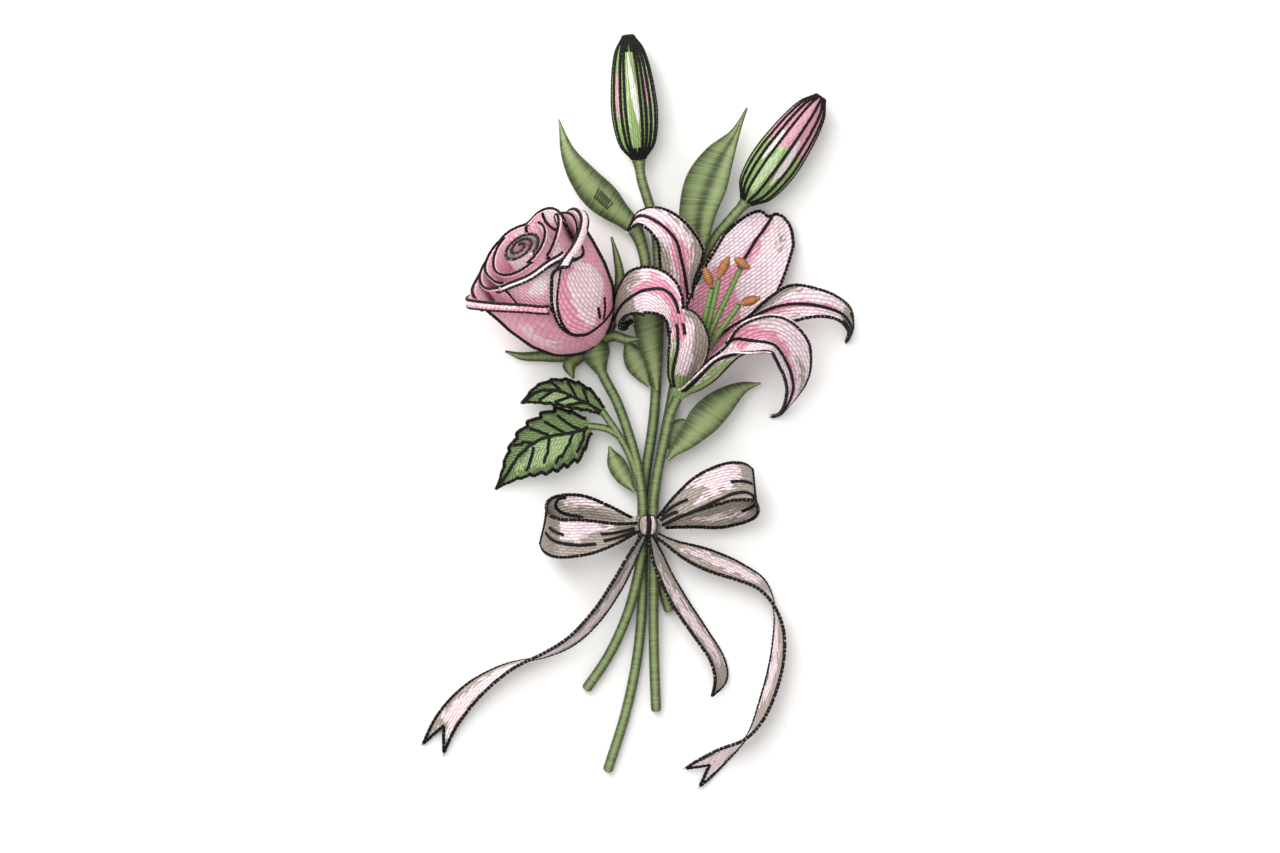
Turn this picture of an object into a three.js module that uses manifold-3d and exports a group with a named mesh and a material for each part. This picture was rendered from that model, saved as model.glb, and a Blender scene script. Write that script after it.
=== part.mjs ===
// A hand-tied flower bouquet, worked in stitched thread: one rose, one open lily, two lily buds, their
// leaves and stems, and a ribbon bow. It lies on a surface with its blooms turned up.
// Millimetres, +Z up. The origin is on the surface, under the ribbon that ties the stems, and +Y runs
// from the tie to the blooms.
import * as THREE from "three";
import { mergeVertices } from "three/addons/utils/BufferGeometryUtils.js";
import Module from "manifold-3d";

const wasm = await Module();
wasm.setup();

// ---------- driving dimensions ----------
const stemRadius = 2.8;
const stalkRadius = 2;
const jointGap = 0.3; // between a piece and what carries it
const ribbonHalfWidth = 7;
const ribbonThickness = 0.9;
const leafEdge = 0.8; // thickness of a leaf at its margin
const leafMiddle = 2.6; // and over its padded middle
const petalThickness = 1.1;
const roseBase = [-32, 100.5, 10]; // where the petals leave the hip
const roseTilt = 32; // degrees that the rose looks up from the surface
const roseHeading = 126.4; // degrees from +X that it looks to
const lilyBase = [16.6, 70.7, 15.4]; // where the tepals leave the stem
const tieHalfLength = 5;

const colours = {
  rosePink: 0xe29aae,
  lilyPink: 0xeed3da,
  olive: 0x6f8450,
  leafGreen: 0x5f7f3c,
  filamentGreen: 0x7fa653,
  anther: 0xb5783f,
  budGreen: 0x8aa862,
  budPink: 0xd9899f,
  ribbon: 0xb9aea6,
};

// ---------- general shapes ----------
const rad = THREE.MathUtils.degToRad;
const vec = (p) => new THREE.Vector3(...p);
const curveOf = (points) => new THREE.CatmullRomCurve3(points.map(vec), false, "centripetal");

// A list of values spread evenly over 0 to 1, read smoothly at t.
function spread(list, t) {
  const place = THREE.MathUtils.clamp(t, 0, 1) * (list.length - 1);
  const i = Math.min(Math.floor(place), list.length - 2);
  const f = place - i;
  const [a, b] = [list[i], list[i + 1]];
  const before = list[Math.max(i - 1, 0)];
  const after = list[Math.min(i + 2, list.length - 1)];
  const [slopeA, slopeB] = [(b - before) / 2, (after - a) / 2];
  return (
    a * (2 * f ** 3 - 3 * f ** 2 + 1) +
    slopeA * (f ** 3 - 2 * f ** 2 + f) +
    b * (3 * f ** 2 - 2 * f ** 3) +
    slopeB * (f ** 3 - f ** 2)
  );
}

// The closed skin of a curved sheet. at(u, v) is its middle surface, u from -1 to 1 across and v from
// 0 to 1 along, and thick(u, v) its thickness. Both faces are split into triangles alike.
function skin({ along, across, at, thick, rowAt = (x) => x, columnAt = (x) => 2 * x - 1 }) {
  const step = 1e-3;
  const position = [];
  for (const side of [0.5, -0.5])
    for (let i = 0; i <= along; i++)
      for (let j = 0; j <= across; j++) {
        const v = rowAt(i / along);
        const u = columnAt(j / across);
        const du = at(Math.min(u + step, 1), v).sub(at(Math.max(u - step, -1), v));
        const dv = at(u, Math.min(v + step, 1)).sub(at(u, Math.max(v - step, 0)));
        const normal = du.cross(dv).normalize();
        position.push(...at(u, v).addScaledVector(normal, side * thick(u, v)).toArray());
      }
  const back = (along + 1) * (across + 1);
  const corner = (i, j) => i * (across + 1) + j;
  const index = [];
  const quad = (a, b, c, d) => index.push(a, b, c, a, c, d);
  for (let i = 0; i < along; i++)
    for (let j = 0; j < across; j++) {
      const [a, b, c, d] = [corner(i, j), corner(i, j + 1), corner(i + 1, j + 1), corner(i + 1, j)];
      quad(a, b, c, d);
      index.push(back + a, back + c, back + b, back + a, back + d, back + c);
    }
  const wall = (a, b) => quad(b, a, back + a, back + b);
  for (let i = 0; i < along; i++) {
    wall(corner(i + 1, 0), corner(i, 0));
    wall(corner(i, across), corner(i + 1, across));
  }
  for (let j = 0; j < across; j++) {
    wall(corner(0, j), corner(0, j + 1));
    wall(corner(along, j + 1), corner(along, j));
  }
  const made = new THREE.BufferGeometry();
  made.setAttribute("position", new THREE.Float32BufferAttribute(position, 3));
  made.setIndex(index);
  return made;
}

// A leaf, petal or ribbon that follows a spine of points. normals, read along it, say which way its
// face looks, halfWidths how wide it is, cup how far its margins lift, wave how they ripple, and
// notch how far the middle of its end is cut back.
function blade({
  spine, halfWidths, normals = [[0, 0, 1]], cup = [0], edge = leafEdge, middle = leafMiddle,
  along = 12, across = 4, wave = 0, waves = 5, notch = 0, teeth = 0, toothDepth = 0,
}) {
  const curve = curveOf(spine);
  const faces = normals.length > 1 ? normals : [normals[0], normals[0]];
  const lifts = cup.length > 1 ? cup : [cup[0], cup[0]];
  const toothed = (v) => 1 - toothDepth * (1 - ((v * teeth) % 1));
  const at = (u, v) => {
    const t = v * (1 - notch * (1 - Math.abs(u)));
    const tangent = curve.getTangentAt(t);
    const face = vec([0, 1, 2].map((k) => spread(faces.map((n) => n[k]), t)));
    const sideways = tangent.clone().cross(face).normalize();
    const normal = sideways.clone().cross(tangent);
    const half = spread(halfWidths, t) * (teeth && v > 0 && v < 1 ? toothed(v) : 1);
    const lift = spread(lifts, t) * half * u * u + wave * Math.sin(waves * Math.PI * t + u) * u * u;
    return curve.getPointAt(t).addScaledVector(sideways, u * half).addScaledVector(normal, lift);
  };
  const thick = (u, v) => edge + (middle - edge) * (1 - u * u) * Math.min(1, 4 * (1 - v) + 0.2);
  return skin({ along, across, at, thick });
}

// A closed tube along a spine. radius is a number, or a function of the place along it and the angle.
function tube({ spine, radius, sides = 8, steps = 16 }) {
  const curve = curveOf(spine);
  const frames = curve.computeFrenetFrames(steps, false);
  const radiusAt = typeof radius === "function" ? radius : () => radius;
  const position = [];
  for (let i = 0; i <= steps; i++) {
    const centre = curve.getPointAt(i / steps);
    for (let j = 0; j < sides; j++) {
      const angle = (2 * Math.PI * j) / sides;
      const r = radiusAt(i / steps, angle);
      position.push(
        ...centre
          .clone()
          .addScaledVector(frames.normals[i], r * Math.cos(angle))
          .addScaledVector(frames.binormals[i], r * Math.sin(angle))
          .toArray(),
      );
    }
  }
  const index = [];
  for (let i = 0; i < steps; i++)
    for (let j = 0; j < sides; j++) {
      const [a, b] = [i * sides + j, i * sides + ((j + 1) % sides)];
      index.push(a, b, b + sides, a, b + sides, a + sides);
    }
  for (let j = 1; j < sides - 1; j++) {
    index.push(0, j + 1, j);
    index.push(steps * sides, steps * sides + j, steps * sides + j + 1);
  }
  const made = new THREE.BufferGeometry();
  made.setAttribute("position", new THREE.Float32BufferAttribute(position, 3));
  made.setIndex(index);
  return made;
}

function solidOf(geometry) {
  const bare = geometry.clone();
  bare.deleteAttribute("normal");
  bare.deleteAttribute("uv");
  const merged = mergeVertices(bare, 1e-3);
  const mesh = new wasm.Mesh({
    numProp: 3,
    vertProperties: merged.attributes.position.array,
    triVerts: new Uint32Array(merged.index.array),
  });
  return new wasm.Manifold(mesh);
}

function geometryOf(solid) {
  const { vertProperties, triVerts } = solid.getMesh();
  const made = new THREE.BufferGeometry();
  made.setAttribute("position", new THREE.Float32BufferAttribute(vertProperties, 3));
  made.setIndex(new THREE.BufferAttribute(triVerts, 1));
  return made;
}

const fuse = (geometries) => geometries.map(solidOf).reduce((all, one) => all.add(one));

// The one outer skin of a joined solid, without the pockets that close up inside it.
function outerBody(solid) {
  return solid.decompose().reduce((most, one) => (one.volume() > most.volume() ? one : most));
}

// Everything below the surface is cut away, which leaves the small flats that the bouquet rests on.
function onSurface(solid) {
  const ground = new THREE.BoxGeometry(600, 600, 40).translate(0, 0, -20);
  return solid.subtract(solidOf(ground));
}

// ---------- rose ----------
const heading = new THREE.Vector3(Math.cos(rad(roseHeading)), Math.sin(rad(roseHeading)), 0);
const roseAxis = heading.clone().multiplyScalar(Math.cos(rad(roseTilt)));
roseAxis.z = Math.sin(rad(roseTilt));
const roseRight = heading.clone().cross(new THREE.Vector3(0, 0, 1));
const roseFront = roseRight.clone().cross(roseAxis);

// A point of the rose: height along its axis, radius and azimuth. Azimuth 90 faces up at the viewer.
function rosePoint(height, radius, azimuth) {
  const a = rad(azimuth);
  return vec(roseBase)
    .addScaledVector(roseAxis, height)
    .addScaledVector(roseRight, radius * Math.cos(a))
    .addScaledVector(roseFront, radius * Math.sin(a));
}

// The cup that the outermost petals follow, from the hip up.
const cupHeights = [0, 6, 14, 26, 40, 54, 80];
const cupRadii = [6, 15, 22.5, 28.5, 31.5, 32, 28];
function cupRadius(height) {
  const i = Math.max(1, cupHeights.findIndex((h) => h >= height));
  const f = (height - cupHeights[i - 1]) / (cupHeights[i] - cupHeights[i - 1]);
  return cupRadii[i - 1] + (cupRadii[i] - cupRadii[i - 1]) * f;
}

// One petal: from and to are the azimuths of its two margins, read from root to lip, and heights and
// radii are those of its lip, read from one margin to the other. inset is how far inside the cup it
// stands, roll the radius its lip is rolled outward to, and sideRoll the same for its second margin.
const rollStart = 0.78;
const rollTurn = 200;
function rosePetal({ from, to, heights, radii, inset = 0, roll = 1.3, sideRoll = 0 }) {
  const at = (u, v) => {
    const share = (u + 1) / 2;
    const rise = Math.min(v, rollStart) / rollStart;
    let height = 3 + (spread(heights, share) - 3) * rise;
    let azimuth = spread(from, v) * (1 - share) + spread(to, v) * share;
    const wall = Math.max(cupRadius(height) - inset, 3);
    const lean = Math.max(0, (rise - 0.35) / 0.65) ** 2.2;
    let radius = wall + (spread(radii, share) - wall) * lean;
    const turn = rad(rollTurn) * Math.max(0, (v - rollStart) / (1 - rollStart));
    height += roll * Math.sin(turn);
    radius += roll * (1 - Math.cos(turn));
    const sideTurn = rad(rollTurn) * Math.max(0, (u - 0.7) / 0.3) * Math.min(1, 3 * rise);
    azimuth += THREE.MathUtils.radToDeg((sideRoll * Math.sin(sideTurn)) / radius);
    radius += sideRoll * (1 - Math.cos(sideTurn));
    return rosePoint(height, radius, azimuth);
  };
  const rows = [0, 0.2, 0.4, 0.6, rollStart, 0.85, 0.93, 1];
  const plain = [-1, -0.6, -0.2, 0.2, 0.6, 1];
  const columns = sideRoll ? [-1, -0.6, -0.2, 0.2, 0.5, 0.7, 0.8, 0.9, 1] : plain;
  return skin({
    along: rows.length - 1,
    across: columns.length - 1,
    at,
    thick: () => petalThickness,
    rowAt: (x) => rows[Math.round(x * (rows.length - 1))],
    columnAt: (x) => columns[Math.round(x * (columns.length - 1))],
  });
}

const rosePetals = [
  // outer petals: the broad one at the right, the one folded down at the left, and two behind
  {
    from: [-40, -62, -68, -58, -42], to: [95, 112, 120, 113, 98, 76],
    heights: [54, 64, 67, 68, 69, 70], radii: [31, 36, 35, 32, 31, 31], roll: 2.2, sideRoll: 1.3,
  },
  {
    from: [85, 94, 99, 101, 102], to: [190, 212, 215, 208, 200],
    heights: [52, 60, 66, 69, 66, 58], radii: [30.5, 31, 33, 36, 38, 35], inset: 1.3, roll: 2.2,
  },
  {
    from: [150, 152, 152, 152, 152], to: [235, 258, 266, 262, 255],
    heights: [66, 67, 64, 62, 61], radii: [35.5, 34, 31.5, 30.5, 29], inset: 2.6, roll: 1.8,
  },
  {
    from: [215, 208, 206, 214, 222], to: [305, 328, 332, 326, 316],
    heights: [58, 64, 60], radii: [30, 32, 30], inset: 1.3, roll: 2,
  },
  // middle petals
  {
    from: [50, 48, 45, 46, 50], to: [125, 140, 148, 152, 152],
    heights: [68, 72, 72.5, 73, 71], radii: [25, 24.5, 24.5, 25, 26], inset: 5.6, roll: 1.2,
  },
  {
    from: [-20, -28, -26, -16, -6], to: [50, 58, 62, 60, 57],
    heights: [76, 74, 70], radii: [27, 22, 17], inset: 8,
  },
  {
    from: [-48, -52, -50, -40, -30], to: [30, 36, 36, 30, 22],
    heights: [68, 70, 68], radii: [31, 33, 31], inset: 3.9,
  },
  {
    from: [-80, -88, -84, -74, -66], to: [0, 6, 5, 0, -6],
    heights: [68, 72, 74, 72], radii: [28, 30, 30, 28], inset: 6,
  },
  {
    from: [-140, -144, -142, -134, -128], to: [-58, -52, -50, -54, -58],
    heights: [65, 69, 67], radii: [28, 29, 28], inset: 6.4,
  },
  {
    from: [125, 130, 136, 140, 142], to: [205, 220, 232, 236, 232],
    heights: [74, 70, 68, 66], radii: [28.5, 28, 29, 30], inset: 4.2,
  },
  {
    from: [125, 130, 136, 142, 144], to: [215, 245, 256, 258, 252],
    heights: [72, 70, 69, 69], radii: [23, 22, 26, 28], inset: 8,
  },
  // inner petals, close round the heart
  {
    from: [-30, -40, -40, -30, -20], to: [80, 100, 104, 100, 94],
    heights: [77, 76, 74], radii: [17, 15.5, 14.5], inset: 14,
  },
  {
    from: [85, 80, 78, 84, 90], to: [215, 250, 262, 262, 258],
    heights: [73, 72, 72, 74], radii: [15.5, 17, 18, 19], inset: 12,
  },
];

// The heart: one petal rolled into a spiral.
function roseHeart() {
  const turns = 2.5;
  const at = (u, v) => {
    const share = (u + 1) / 2;
    return rosePoint(52 + 24 * v + 1.5 * share, 2 + 10 * (1 - share), 80 - 360 * turns * share);
  };
  return skin({ along: 2, across: 32, at, thick: () => petalThickness });
}

// The packed middle of the bloom, which the petals stand out of.
function roseCore() {
  const profile = [5.5, 13.5, 20.5, 25, 26.8, 26.5, 21, 10];
  const ends = [rosePoint(0, 0, 0), rosePoint(36, 0, 0), rosePoint(66, 0, 0)].map((p) => p.toArray());
  return tube({ spine: ends, radius: (t) => spread(profile, t), sides: 12, steps: 7 });
}

function roseBloom() {
  const all = fuse([roseCore(), roseHeart(), ...rosePetals.map(rosePetal)]);
  return outerBody(outerBody(onSurface(all)).simplify(0.12));
}

// The hip under the petals, the stem, the two leaf stalks and the sepals are one growth.
const sepals = [
  {
    spine: [
      [-31, 95.5, 5.4], [-38, 93.8, 4.4], [-47, 93, 4.6], [-59.5, 93, 6], [-69.5, 93, 7.5],
      [-78.5, 95.5, 9],
    ],
    halfWidths: [3, 2.6, 2.6, 2.3, 1.8, 0.4],
    normals: [[0, -0.5, 1]],
  },
  {
    spine: [[-32.5, 95, 6.2], [-39, 92.5, 7], [-43, 88, 9], [-41, 80.5, 9]],
    halfWidths: [2.6, 3.8, 3.6, 0.4],
    normals: [[-0.3, -0.3, 1]],
  },
  {
    spine: [[-29, 96, 7], [-24.6, 101.4, 10], [-19, 104, 14.5], [-11.5, 102, 16], [-4, 102.5, 17]],
    halfWidths: [3, 2.4, 2.3, 2, 0.4],
    normals: [[0, 0, 1]],
  },
  {
    spine: [
      [-28.6, 96.6, 6.6], [-22, 107, 7.4], [-17, 121, 10.5], [-15.6, 137.5, 15], [-17.5, 148.5, 17],
      [-20, 158.5, 18],
    ],
    halfWidths: [3, 2.6, 2.4, 2.2, 1.6, 0.4],
    normals: [[0.2, 0, 1]],
  },
];

const roseStemSpine = [
  [-29.5, 94.5, 7.2], [-25, 83, 8.4], [-17, 67.5, 9], [-11, 51, 9], [-6, 33, 9.5], [-3, 12, 9.8],
  [-3, 0, 9.8], [-3, -11, 9.8], [-5.5, -27.5, 9], [-11.5, -49.5, 7], [-21.5, -71.5, 5], [-34.5, -91, 3.4],
];

function roseStem() {
  const seat = rosePoint(-jointGap, 0, 0).toArray();
  const [below, under] = [rosePoint(-2, 0, 0).toArray(), rosePoint(-5, 0, 0).toArray()];
  const hipProfile = [6.4, 7.2, 6.6, 4.6, 3.2];
  const hip = tube({
    spine: [seat, below, under, [-28, 91.5, 7.4], [-25.6, 84, 8.2]],
    radius: (t) => spread(hipProfile, t),
    sides: 12,
    steps: 7,
  });
  const stem = tube({ spine: roseStemSpine, radius: stemRadius, steps: 26 });
  const stalkUpper = tube({
    spine: [[-24.4, 61.6, 14], [-16.5, 50, 12], [-10, 38, 10.5], [-5, 24, 9.8]],
    radius: stalkRadius,
    sides: 7,
    steps: 10,
  });
  const stalkLower = tube({
    spine: [[-30.4, 54.5, 10.5], [-23, 53, 11.5], [-16, 49.3, 12]],
    radius: stalkRadius,
    sides: 7,
    steps: 5,
  });
  const leaves = sepals.map((s) => blade({ ...s, cup: [0.25], edge: 0.9, middle: 2, along: 9, across: 2 }));
  return fuse([hip, stem, stalkUpper, stalkLower, ...leaves]);
}

const leaflets = {
  rose_leaflet_upper: {
    spine: [[-25.3, 62.8, 14.3], [-34.5, 69, 16], [-47.5, 73, 17], [-59, 72, 15], [-70, 67, 11]],
    halfWidths: [3, 7.5, 8.5, 6, 0.6],
    teeth: 8,
  },
  rose_leaflet_lower: {
    spine: [[-32.6, 54.6, 10.6], [-43, 50.5, 12.5], [-55, 45, 13.5], [-69, 35.5, 11], [-84, 19.5, 5]],
    halfWidths: [5.5, 16, 17.6, 16, 11, 5, 0.6],
    teeth: 9,
  },
};

// ---------- lily ----------
const tepals = [
  {
    // furthest from the viewer, its whole inner face in sight
    spine: [[18.5, 74, 15.5], [29, 96.5, 13], [43, 121, 11], [57, 146.5, 10], [67.5, 173.5, 5]],
    halfWidths: [5, 12, 17.5, 21, 21.5, 19.5, 14, 4],
    normals: [[0, -0.15, 1]],
    cup: [0.35, 0.3, 0.15, 0],
  },
  {
    spine: [
      [18, 76, 14], [21, 100, 12], [22, 121, 15.5], [18.5, 144, 24], [12, 160, 28.5], [3, 168, 27],
      [-5, 169, 22], [-11.5, 161, 15],
    ],
    halfWidths: [4.5, 8, 12, 14, 13, 9, 6, 0.8],
    normals: [[0.1, -0.1, 1], [0.1, 0, 1], [-0.1, 0.3, 1], [-0.6, 0.5, 0.7]],
    cup: [0.3, 0.2, 0, -0.1],
  },
  {
    spine: [
      [16, 77, 18], [14.5, 91, 28], [14.5, 103, 36.5], [13, 113, 43], [9.5, 121, 46], [3.5, 127, 46.5],
      [-4, 128.5, 42.5], [-12, 124, 36], [-16.5, 117, 29], [-17.5, 112, 25], [-15, 109, 22],
      [-11, 109.5, 20.5],
    ],
    halfWidths: [4.5, 6, 6, 6.5, 6.5, 8, 12.5, 14.5, 13, 9.5, 5.6, 2.6, 1.4],
    normals: [
      [0.7, 0.1, 0.7], [0.6, 0.2, 0.7], [0.3, 0, 0.9], [0, -0.1, 1], [0, 0, 1], [-0.1, 0.1, 1],
      [-0.4, 0.3, 0.9], [-0.8, 0, 0.4], [0.1, -0.8, -0.6],
    ],
    cup: [0.2, 0.1, 0, -0.15],
  },
  {
    spine: [
      [21, 76, 14], [36, 97, 15], [50, 109, 20], [62, 116.5, 25], [74, 120.5, 28], [88, 121.5, 27],
      [100, 120, 22], [109, 115.5, 14.5], [112, 108, 6.6], [109, 100.5, 1.2],
    ],
    halfWidths: [4.5, 8, 11.5, 14, 14, 11, 7, 4.5, 3.2, 0.8],
    normals: [[-0.2, 0, 1], [-0.1, 0, 1], [0.1, 0.1, 1], [0.9, 0.2, 0.4]],
    cup: [0.3, 0.2, 0, -0.15],
  },
  {
    // its base folds into a trough, so that a strip of its back is in sight
    spine: [
      [20, 73, 19], [26.5, 74.5, 25], [35.5, 79.8, 32], [44.6, 88, 39], [52.5, 96, 43.5],
      [60.5, 101.5, 45.5], [69, 102, 43.5], [77, 96, 38], [81.5, 87, 30], [81.8, 77, 20.5],
      [77.5, 66.5, 10.5], [72.5, 61, 3.8], [67, 59.6, 1],
    ],
    halfWidths: [4, 7.5, 10, 10, 9, 10.5, 13, 12.5, 10, 8, 6, 3.5, 0.8],
    normals: [
      [-0.67, 0.74, 0.1], [-0.67, 0.74, 0.1], [-0.6, 0.7, 0.15], [-0.1, 0.3, 0.9], [0.1, 0.1, 1],
      [0.4, 0, 0.9], [0.8, -0.2, 0.6], [0.8, -0.4, 0.4],
    ],
    cup: [0.9, 0.95, 0.9, 0.25, 0, -0.1, -0.1],
  },
  {
    // nearest the viewer, its back in sight
    spine: [
      [16.4, 74, 20.5], [16.5, 82, 29], [19.5, 91.5, 36.5], [21.5, 102, 41], [19.5, 112, 41.5],
      [13, 118, 38],
    ],
    halfWidths: [5, 9.5, 13, 13.5, 10, 4],
    normals: [[-0.1, -0.6, 0.9], [0.1, -0.3, 1], [0.2, 0, 1]],
    cup: [-0.4, -0.35, -0.3],
  },
];

function lilyBloom() {
  const foot = tube({
    spine: [lilyBase, [18.2, 74.2, 16.6], [20.4, 79, 19]],
    radius: (t) => spread([3.4, 5.6, 6.2, 4.5], t),
    sides: 12,
    steps: 5,
  });
  const leaves = tepals.map((t) =>
    blade({ ...t, edge: 0.9, middle: 1.3, along: 16, across: 4, wave: 0.5, waves: 6 }),
  );
  return outerBody(outerBody(onSurface(fuse([foot, ...leaves]))).simplify(0.08));
}

// Filaments rise from one root inside the throat; each carries an anther.
const stamens = [
  {
    spine: [[26.2, 90, 18.6], [30.2, 109, 30], [35.1, 130.1, 43.3]],
    anther: [[31, 141.5, 47], [35, 131, 44]],
  },
  {
    spine: [[26.8, 90, 18.6], [33.5, 112, 31.5], [39, 135, 47.2]],
    anther: [[38.6, 136, 48], [44.5, 147.5, 52]],
  },
  {
    spine: [[27.4, 90, 18.6], [38.5, 115, 33], [50.9, 141, 47.6]],
    anther: [[47.6, 147, 50], [56, 141, 49]],
  },
  {
    spine: [[28, 89.5, 18.6], [38.5, 105, 29], [50, 120.9, 40.3]],
    anther: [[50.6, 121.6, 41], [61.5, 125, 43]],
  },
];

function lilyFilaments() {
  const root = tube({
    spine: [[24, 83.5, 17.4], [26, 87.6, 17.8], [28, 92, 19.4]],
    radius: (t) => spread([1.4, 2.4, 2.8], t),
    steps: 3,
  });
  const stalks = stamens.map(({ spine }) =>
    tube({ spine, radius: (t) => 1.7 - 0.2 * t, sides: 6, steps: 6 }),
  );
  return fuse([root, ...stalks]);
}

function anther({ anther: [start, end] }) {
  const profile = [0.9, 2.2, 2.7, 2.2, 0.8];
  return tube({ spine: [start, end], radius: (t) => spread(profile, t), sides: 8, steps: 6 });
}

// A closed bud: six folded tepals whose backs stand out as ridges.
function bud({ spine, widest }) {
  const profile = [0.25, 0.72, 0.91, 0.99, 1, 0.95, 0.88, 0.77, 0.58, 0.2];
  const ridge = (angle) => 1 + 0.05 * Math.cos(6 * angle);
  const radius = (t, angle) => widest * spread(profile, t) * ridge(angle);
  const body = tube({ spine, radius, sides: 24, steps: 12 });
  return geometryOf(onSurface(solidOf(body)));
}

const budTop = { spine: [[-5.1, 200.5, 12.6], [-8, 235, 12.9], [-11, 270, 12.4]], widest: 12.6 };
const budSide = { spine: [[53.6, 177.4, 12.8], [74, 205.5, 13.8], [95.5, 236, 12.8]], widest: 13.3 };

const lilyStems = {
  lily_stem: [
    [16.4, 70.4, 15.2], [12, 60.5, 13], [9, 47, 11], [5.5, 30.5, 10], [3, 13, 9.8], [3, 0, 9.8],
    [3, -11, 9.8], [3.2, -27.5, 9.2], [3, -52.5, 7.2], [3.5, -77, 5], [4.5, -103, 3.4],
  ],
  bud_top_stem: [
    [-5, 199.5, 12.6], [-3.5, 190, 11], [-0.5, 180, 9], [3.5, 166.5, 7.5], [5.5, 146, 6.5], [6, 118.5, 6],
    [5, 88, 5.5], [3, 58, 4.6], [-1, 30.5, 4], [-3, 13, 3.9], [-3, 0, 3.9], [-3, -10, 3.9],
    [-3, -27.5, 3.9], [-3.6, -50, 3.6], [-6.5, -76, 3.4], [-12.5, -104, 3.4], [-22.5, -136, 3.4],
  ],
  bud_side_stem: [
    [53, 176.5, 12.5], [44, 166.5, 9.5], [37, 158, 6.5], [29.5, 144.5, 4.6], [23, 124, 4], [18, 96.5, 3.8],
    [13, 69, 3.8], [7.5, 41, 3.9], [3.4, 14, 3.9], [3, 0, 3.9], [3, -11, 3.9], [6, -27.5, 3.6],
    [12, -48, 3.4],
  ],
};

const leaves = {
  leaf_upper_left: {
    spine: [
      [1.4, 121, 6.2], [-0.6, 134, 6.4], [-2, 148, 6.8], [-7.5, 163, 8.5], [-20, 175, 12], [-33, 188, 15],
      [-43.5, 204, 16], [-49, 223, 12],
    ],
    halfWidths: [1.2, 2.8, 3.2, 5.5, 9, 7.5, 3.6, 0.4],
    normals: [[-0.1, -0.1, 1]],
    middle: 2.8,
  },
  leaf_upper_right: {
    spine: [
      [28.5, 143, 9], [26.5, 158, 9.8], [27.5, 172, 11], [32, 187, 12.5], [38.5, 201, 13.5],
      [47.5, 215, 13], [54.5, 229.5, 11],
    ],
    halfWidths: [2, 7.5, 10.2, 11.4, 8.2, 2.6, 0.4],
    normals: [[-0.1, 0, 1]],
    cup: [0.3],
  },
  leaf_sheath: {
    spine: [
      [5, 74, 9.8], [3.5, 88, 9.8], [1, 102, 10.2], [-0.5, 115.5, 10.8], [-3, 129, 11.4], [-4.5, 139, 11.4],
    ],
    halfWidths: [1.4, 4.2, 6.6, 8, 5.5, 0.4],
    normals: [[0, 0, 1]],
  },
  leaf_middle: {
    spine: [[0.7, 76.4, 5.8], [-3, 83, 6.6], [-6.5, 90, 7], [-10, 97, 7.2], [-12.5, 101.5, 6.6]],
    halfWidths: [1, 4.4, 6.4, 5, 0.8],
    normals: [[-0.1, 0, 1]],
  },
  leaf_lower_right: {
    spine: [
      [10.9, 36, 10.8], [14.5, 40.5, 11.8], [21, 46.5, 13], [32.7, 60, 14], [43.7, 70, 12.5],
      [52, 75.5, 10], [62, 78, 6.5],
    ],
    halfWidths: [1.2, 3.8, 6.6, 8.8, 8.4, 6.2, 3, 0.4],
    normals: [[0, 0, 1]],
  },
  leaf_lower_right_small: {
    spine: [[12.4, 41.6, 6.6], [14.5, 50, 8.2], [18.5, 54.5, 8.4], [24, 57.5, 8]],
    halfWidths: [1.2, 4.4, 4.6, 0.8],
    normals: [[0, 0, 1]],
  },
  leaf_lower_left: {
    spine: [[-7.4, 18.4, 9.4], [-12.8, 26, 9], [-17.5, 34, 9], [-21.5, 43.5, 8]],
    halfWidths: [1, 4.6, 4.8, 0.5],
    normals: [[0, 0, 1]],
  },
};

// ---------- ribbon ----------
const ribbon = (shape) => blade({ ...shape, edge: ribbonThickness, middle: ribbonThickness, across: 2 });

// The band round the four stems: its underside is the flat foot at the origin.
function ribbonBand() {
  const outerHalf = 7;
  const top = 13.9;
  const corner = 3;
  const wall = ribbonThickness;
  const slab = (half, low, high, r) => {
    const s = new THREE.Shape();
    s.moveTo(-half + r, low);
    s.lineTo(half - r, low);
    s.absarc(half - r, low + r, r, -Math.PI / 2, 0, false);
    s.lineTo(half, high - r);
    s.absarc(half - r, high - r, r, 0, Math.PI / 2, false);
    s.lineTo(-half + r, high);
    s.absarc(-half + r, high - r, r, Math.PI / 2, Math.PI, false);
    s.lineTo(-half, low + r);
    s.absarc(-half + r, low + r, r, Math.PI, 1.5 * Math.PI, false);
    return s;
  };
  const shape = slab(outerHalf, 0, top, corner);
  shape.holes.push(slab(outerHalf - wall, wall, top - wall, corner - wall));
  const options = { depth: 2 * tieHalfLength, bevelEnabled: false, curveSegments: 4 };
  return new THREE.ExtrudeGeometry(shape, options)
    .rotateX(Math.PI / 2)
    .translate(0, tieHalfLength, 0);
}

function ribbonKnot() {
  const profile = [3.4, 4.4, 4.8, 4.4, 3.4];
  return tube({
    spine: [[0, -5.4, 18.6], [0, 0, 19], [0, 5.4, 18.6]],
    radius: (t) => spread(profile, t),
    sides: 12,
    steps: 6,
  });
}

// The facing of a ribbon along its spine, from the degrees that it turns out of level at each point.
const turned = (angles, spine) =>
  angles.map((angle, i) => {
    const next = vec(spine[Math.min(i + 1, spine.length - 1)]);
    const way = next.sub(vec(spine[Math.max(i - 1, 0)])).setZ(0).normalize();
    const side = new THREE.Vector3(way.y, -way.x, 0);
    return side.multiplyScalar(-Math.sin(rad(angle))).setZ(Math.cos(rad(angle))).toArray();
  });

function ribbonTail({ spine, angles, tip = ribbonHalfWidth, root = 2.6, notch = 0, along = 22 }) {
  const full = ribbonHalfWidth;
  const halfWidths = [root, full, full, full, full, full, full, tip];
  return ribbon({ spine, halfWidths, normals: turned(angles, spine), notch, along });
}

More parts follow.
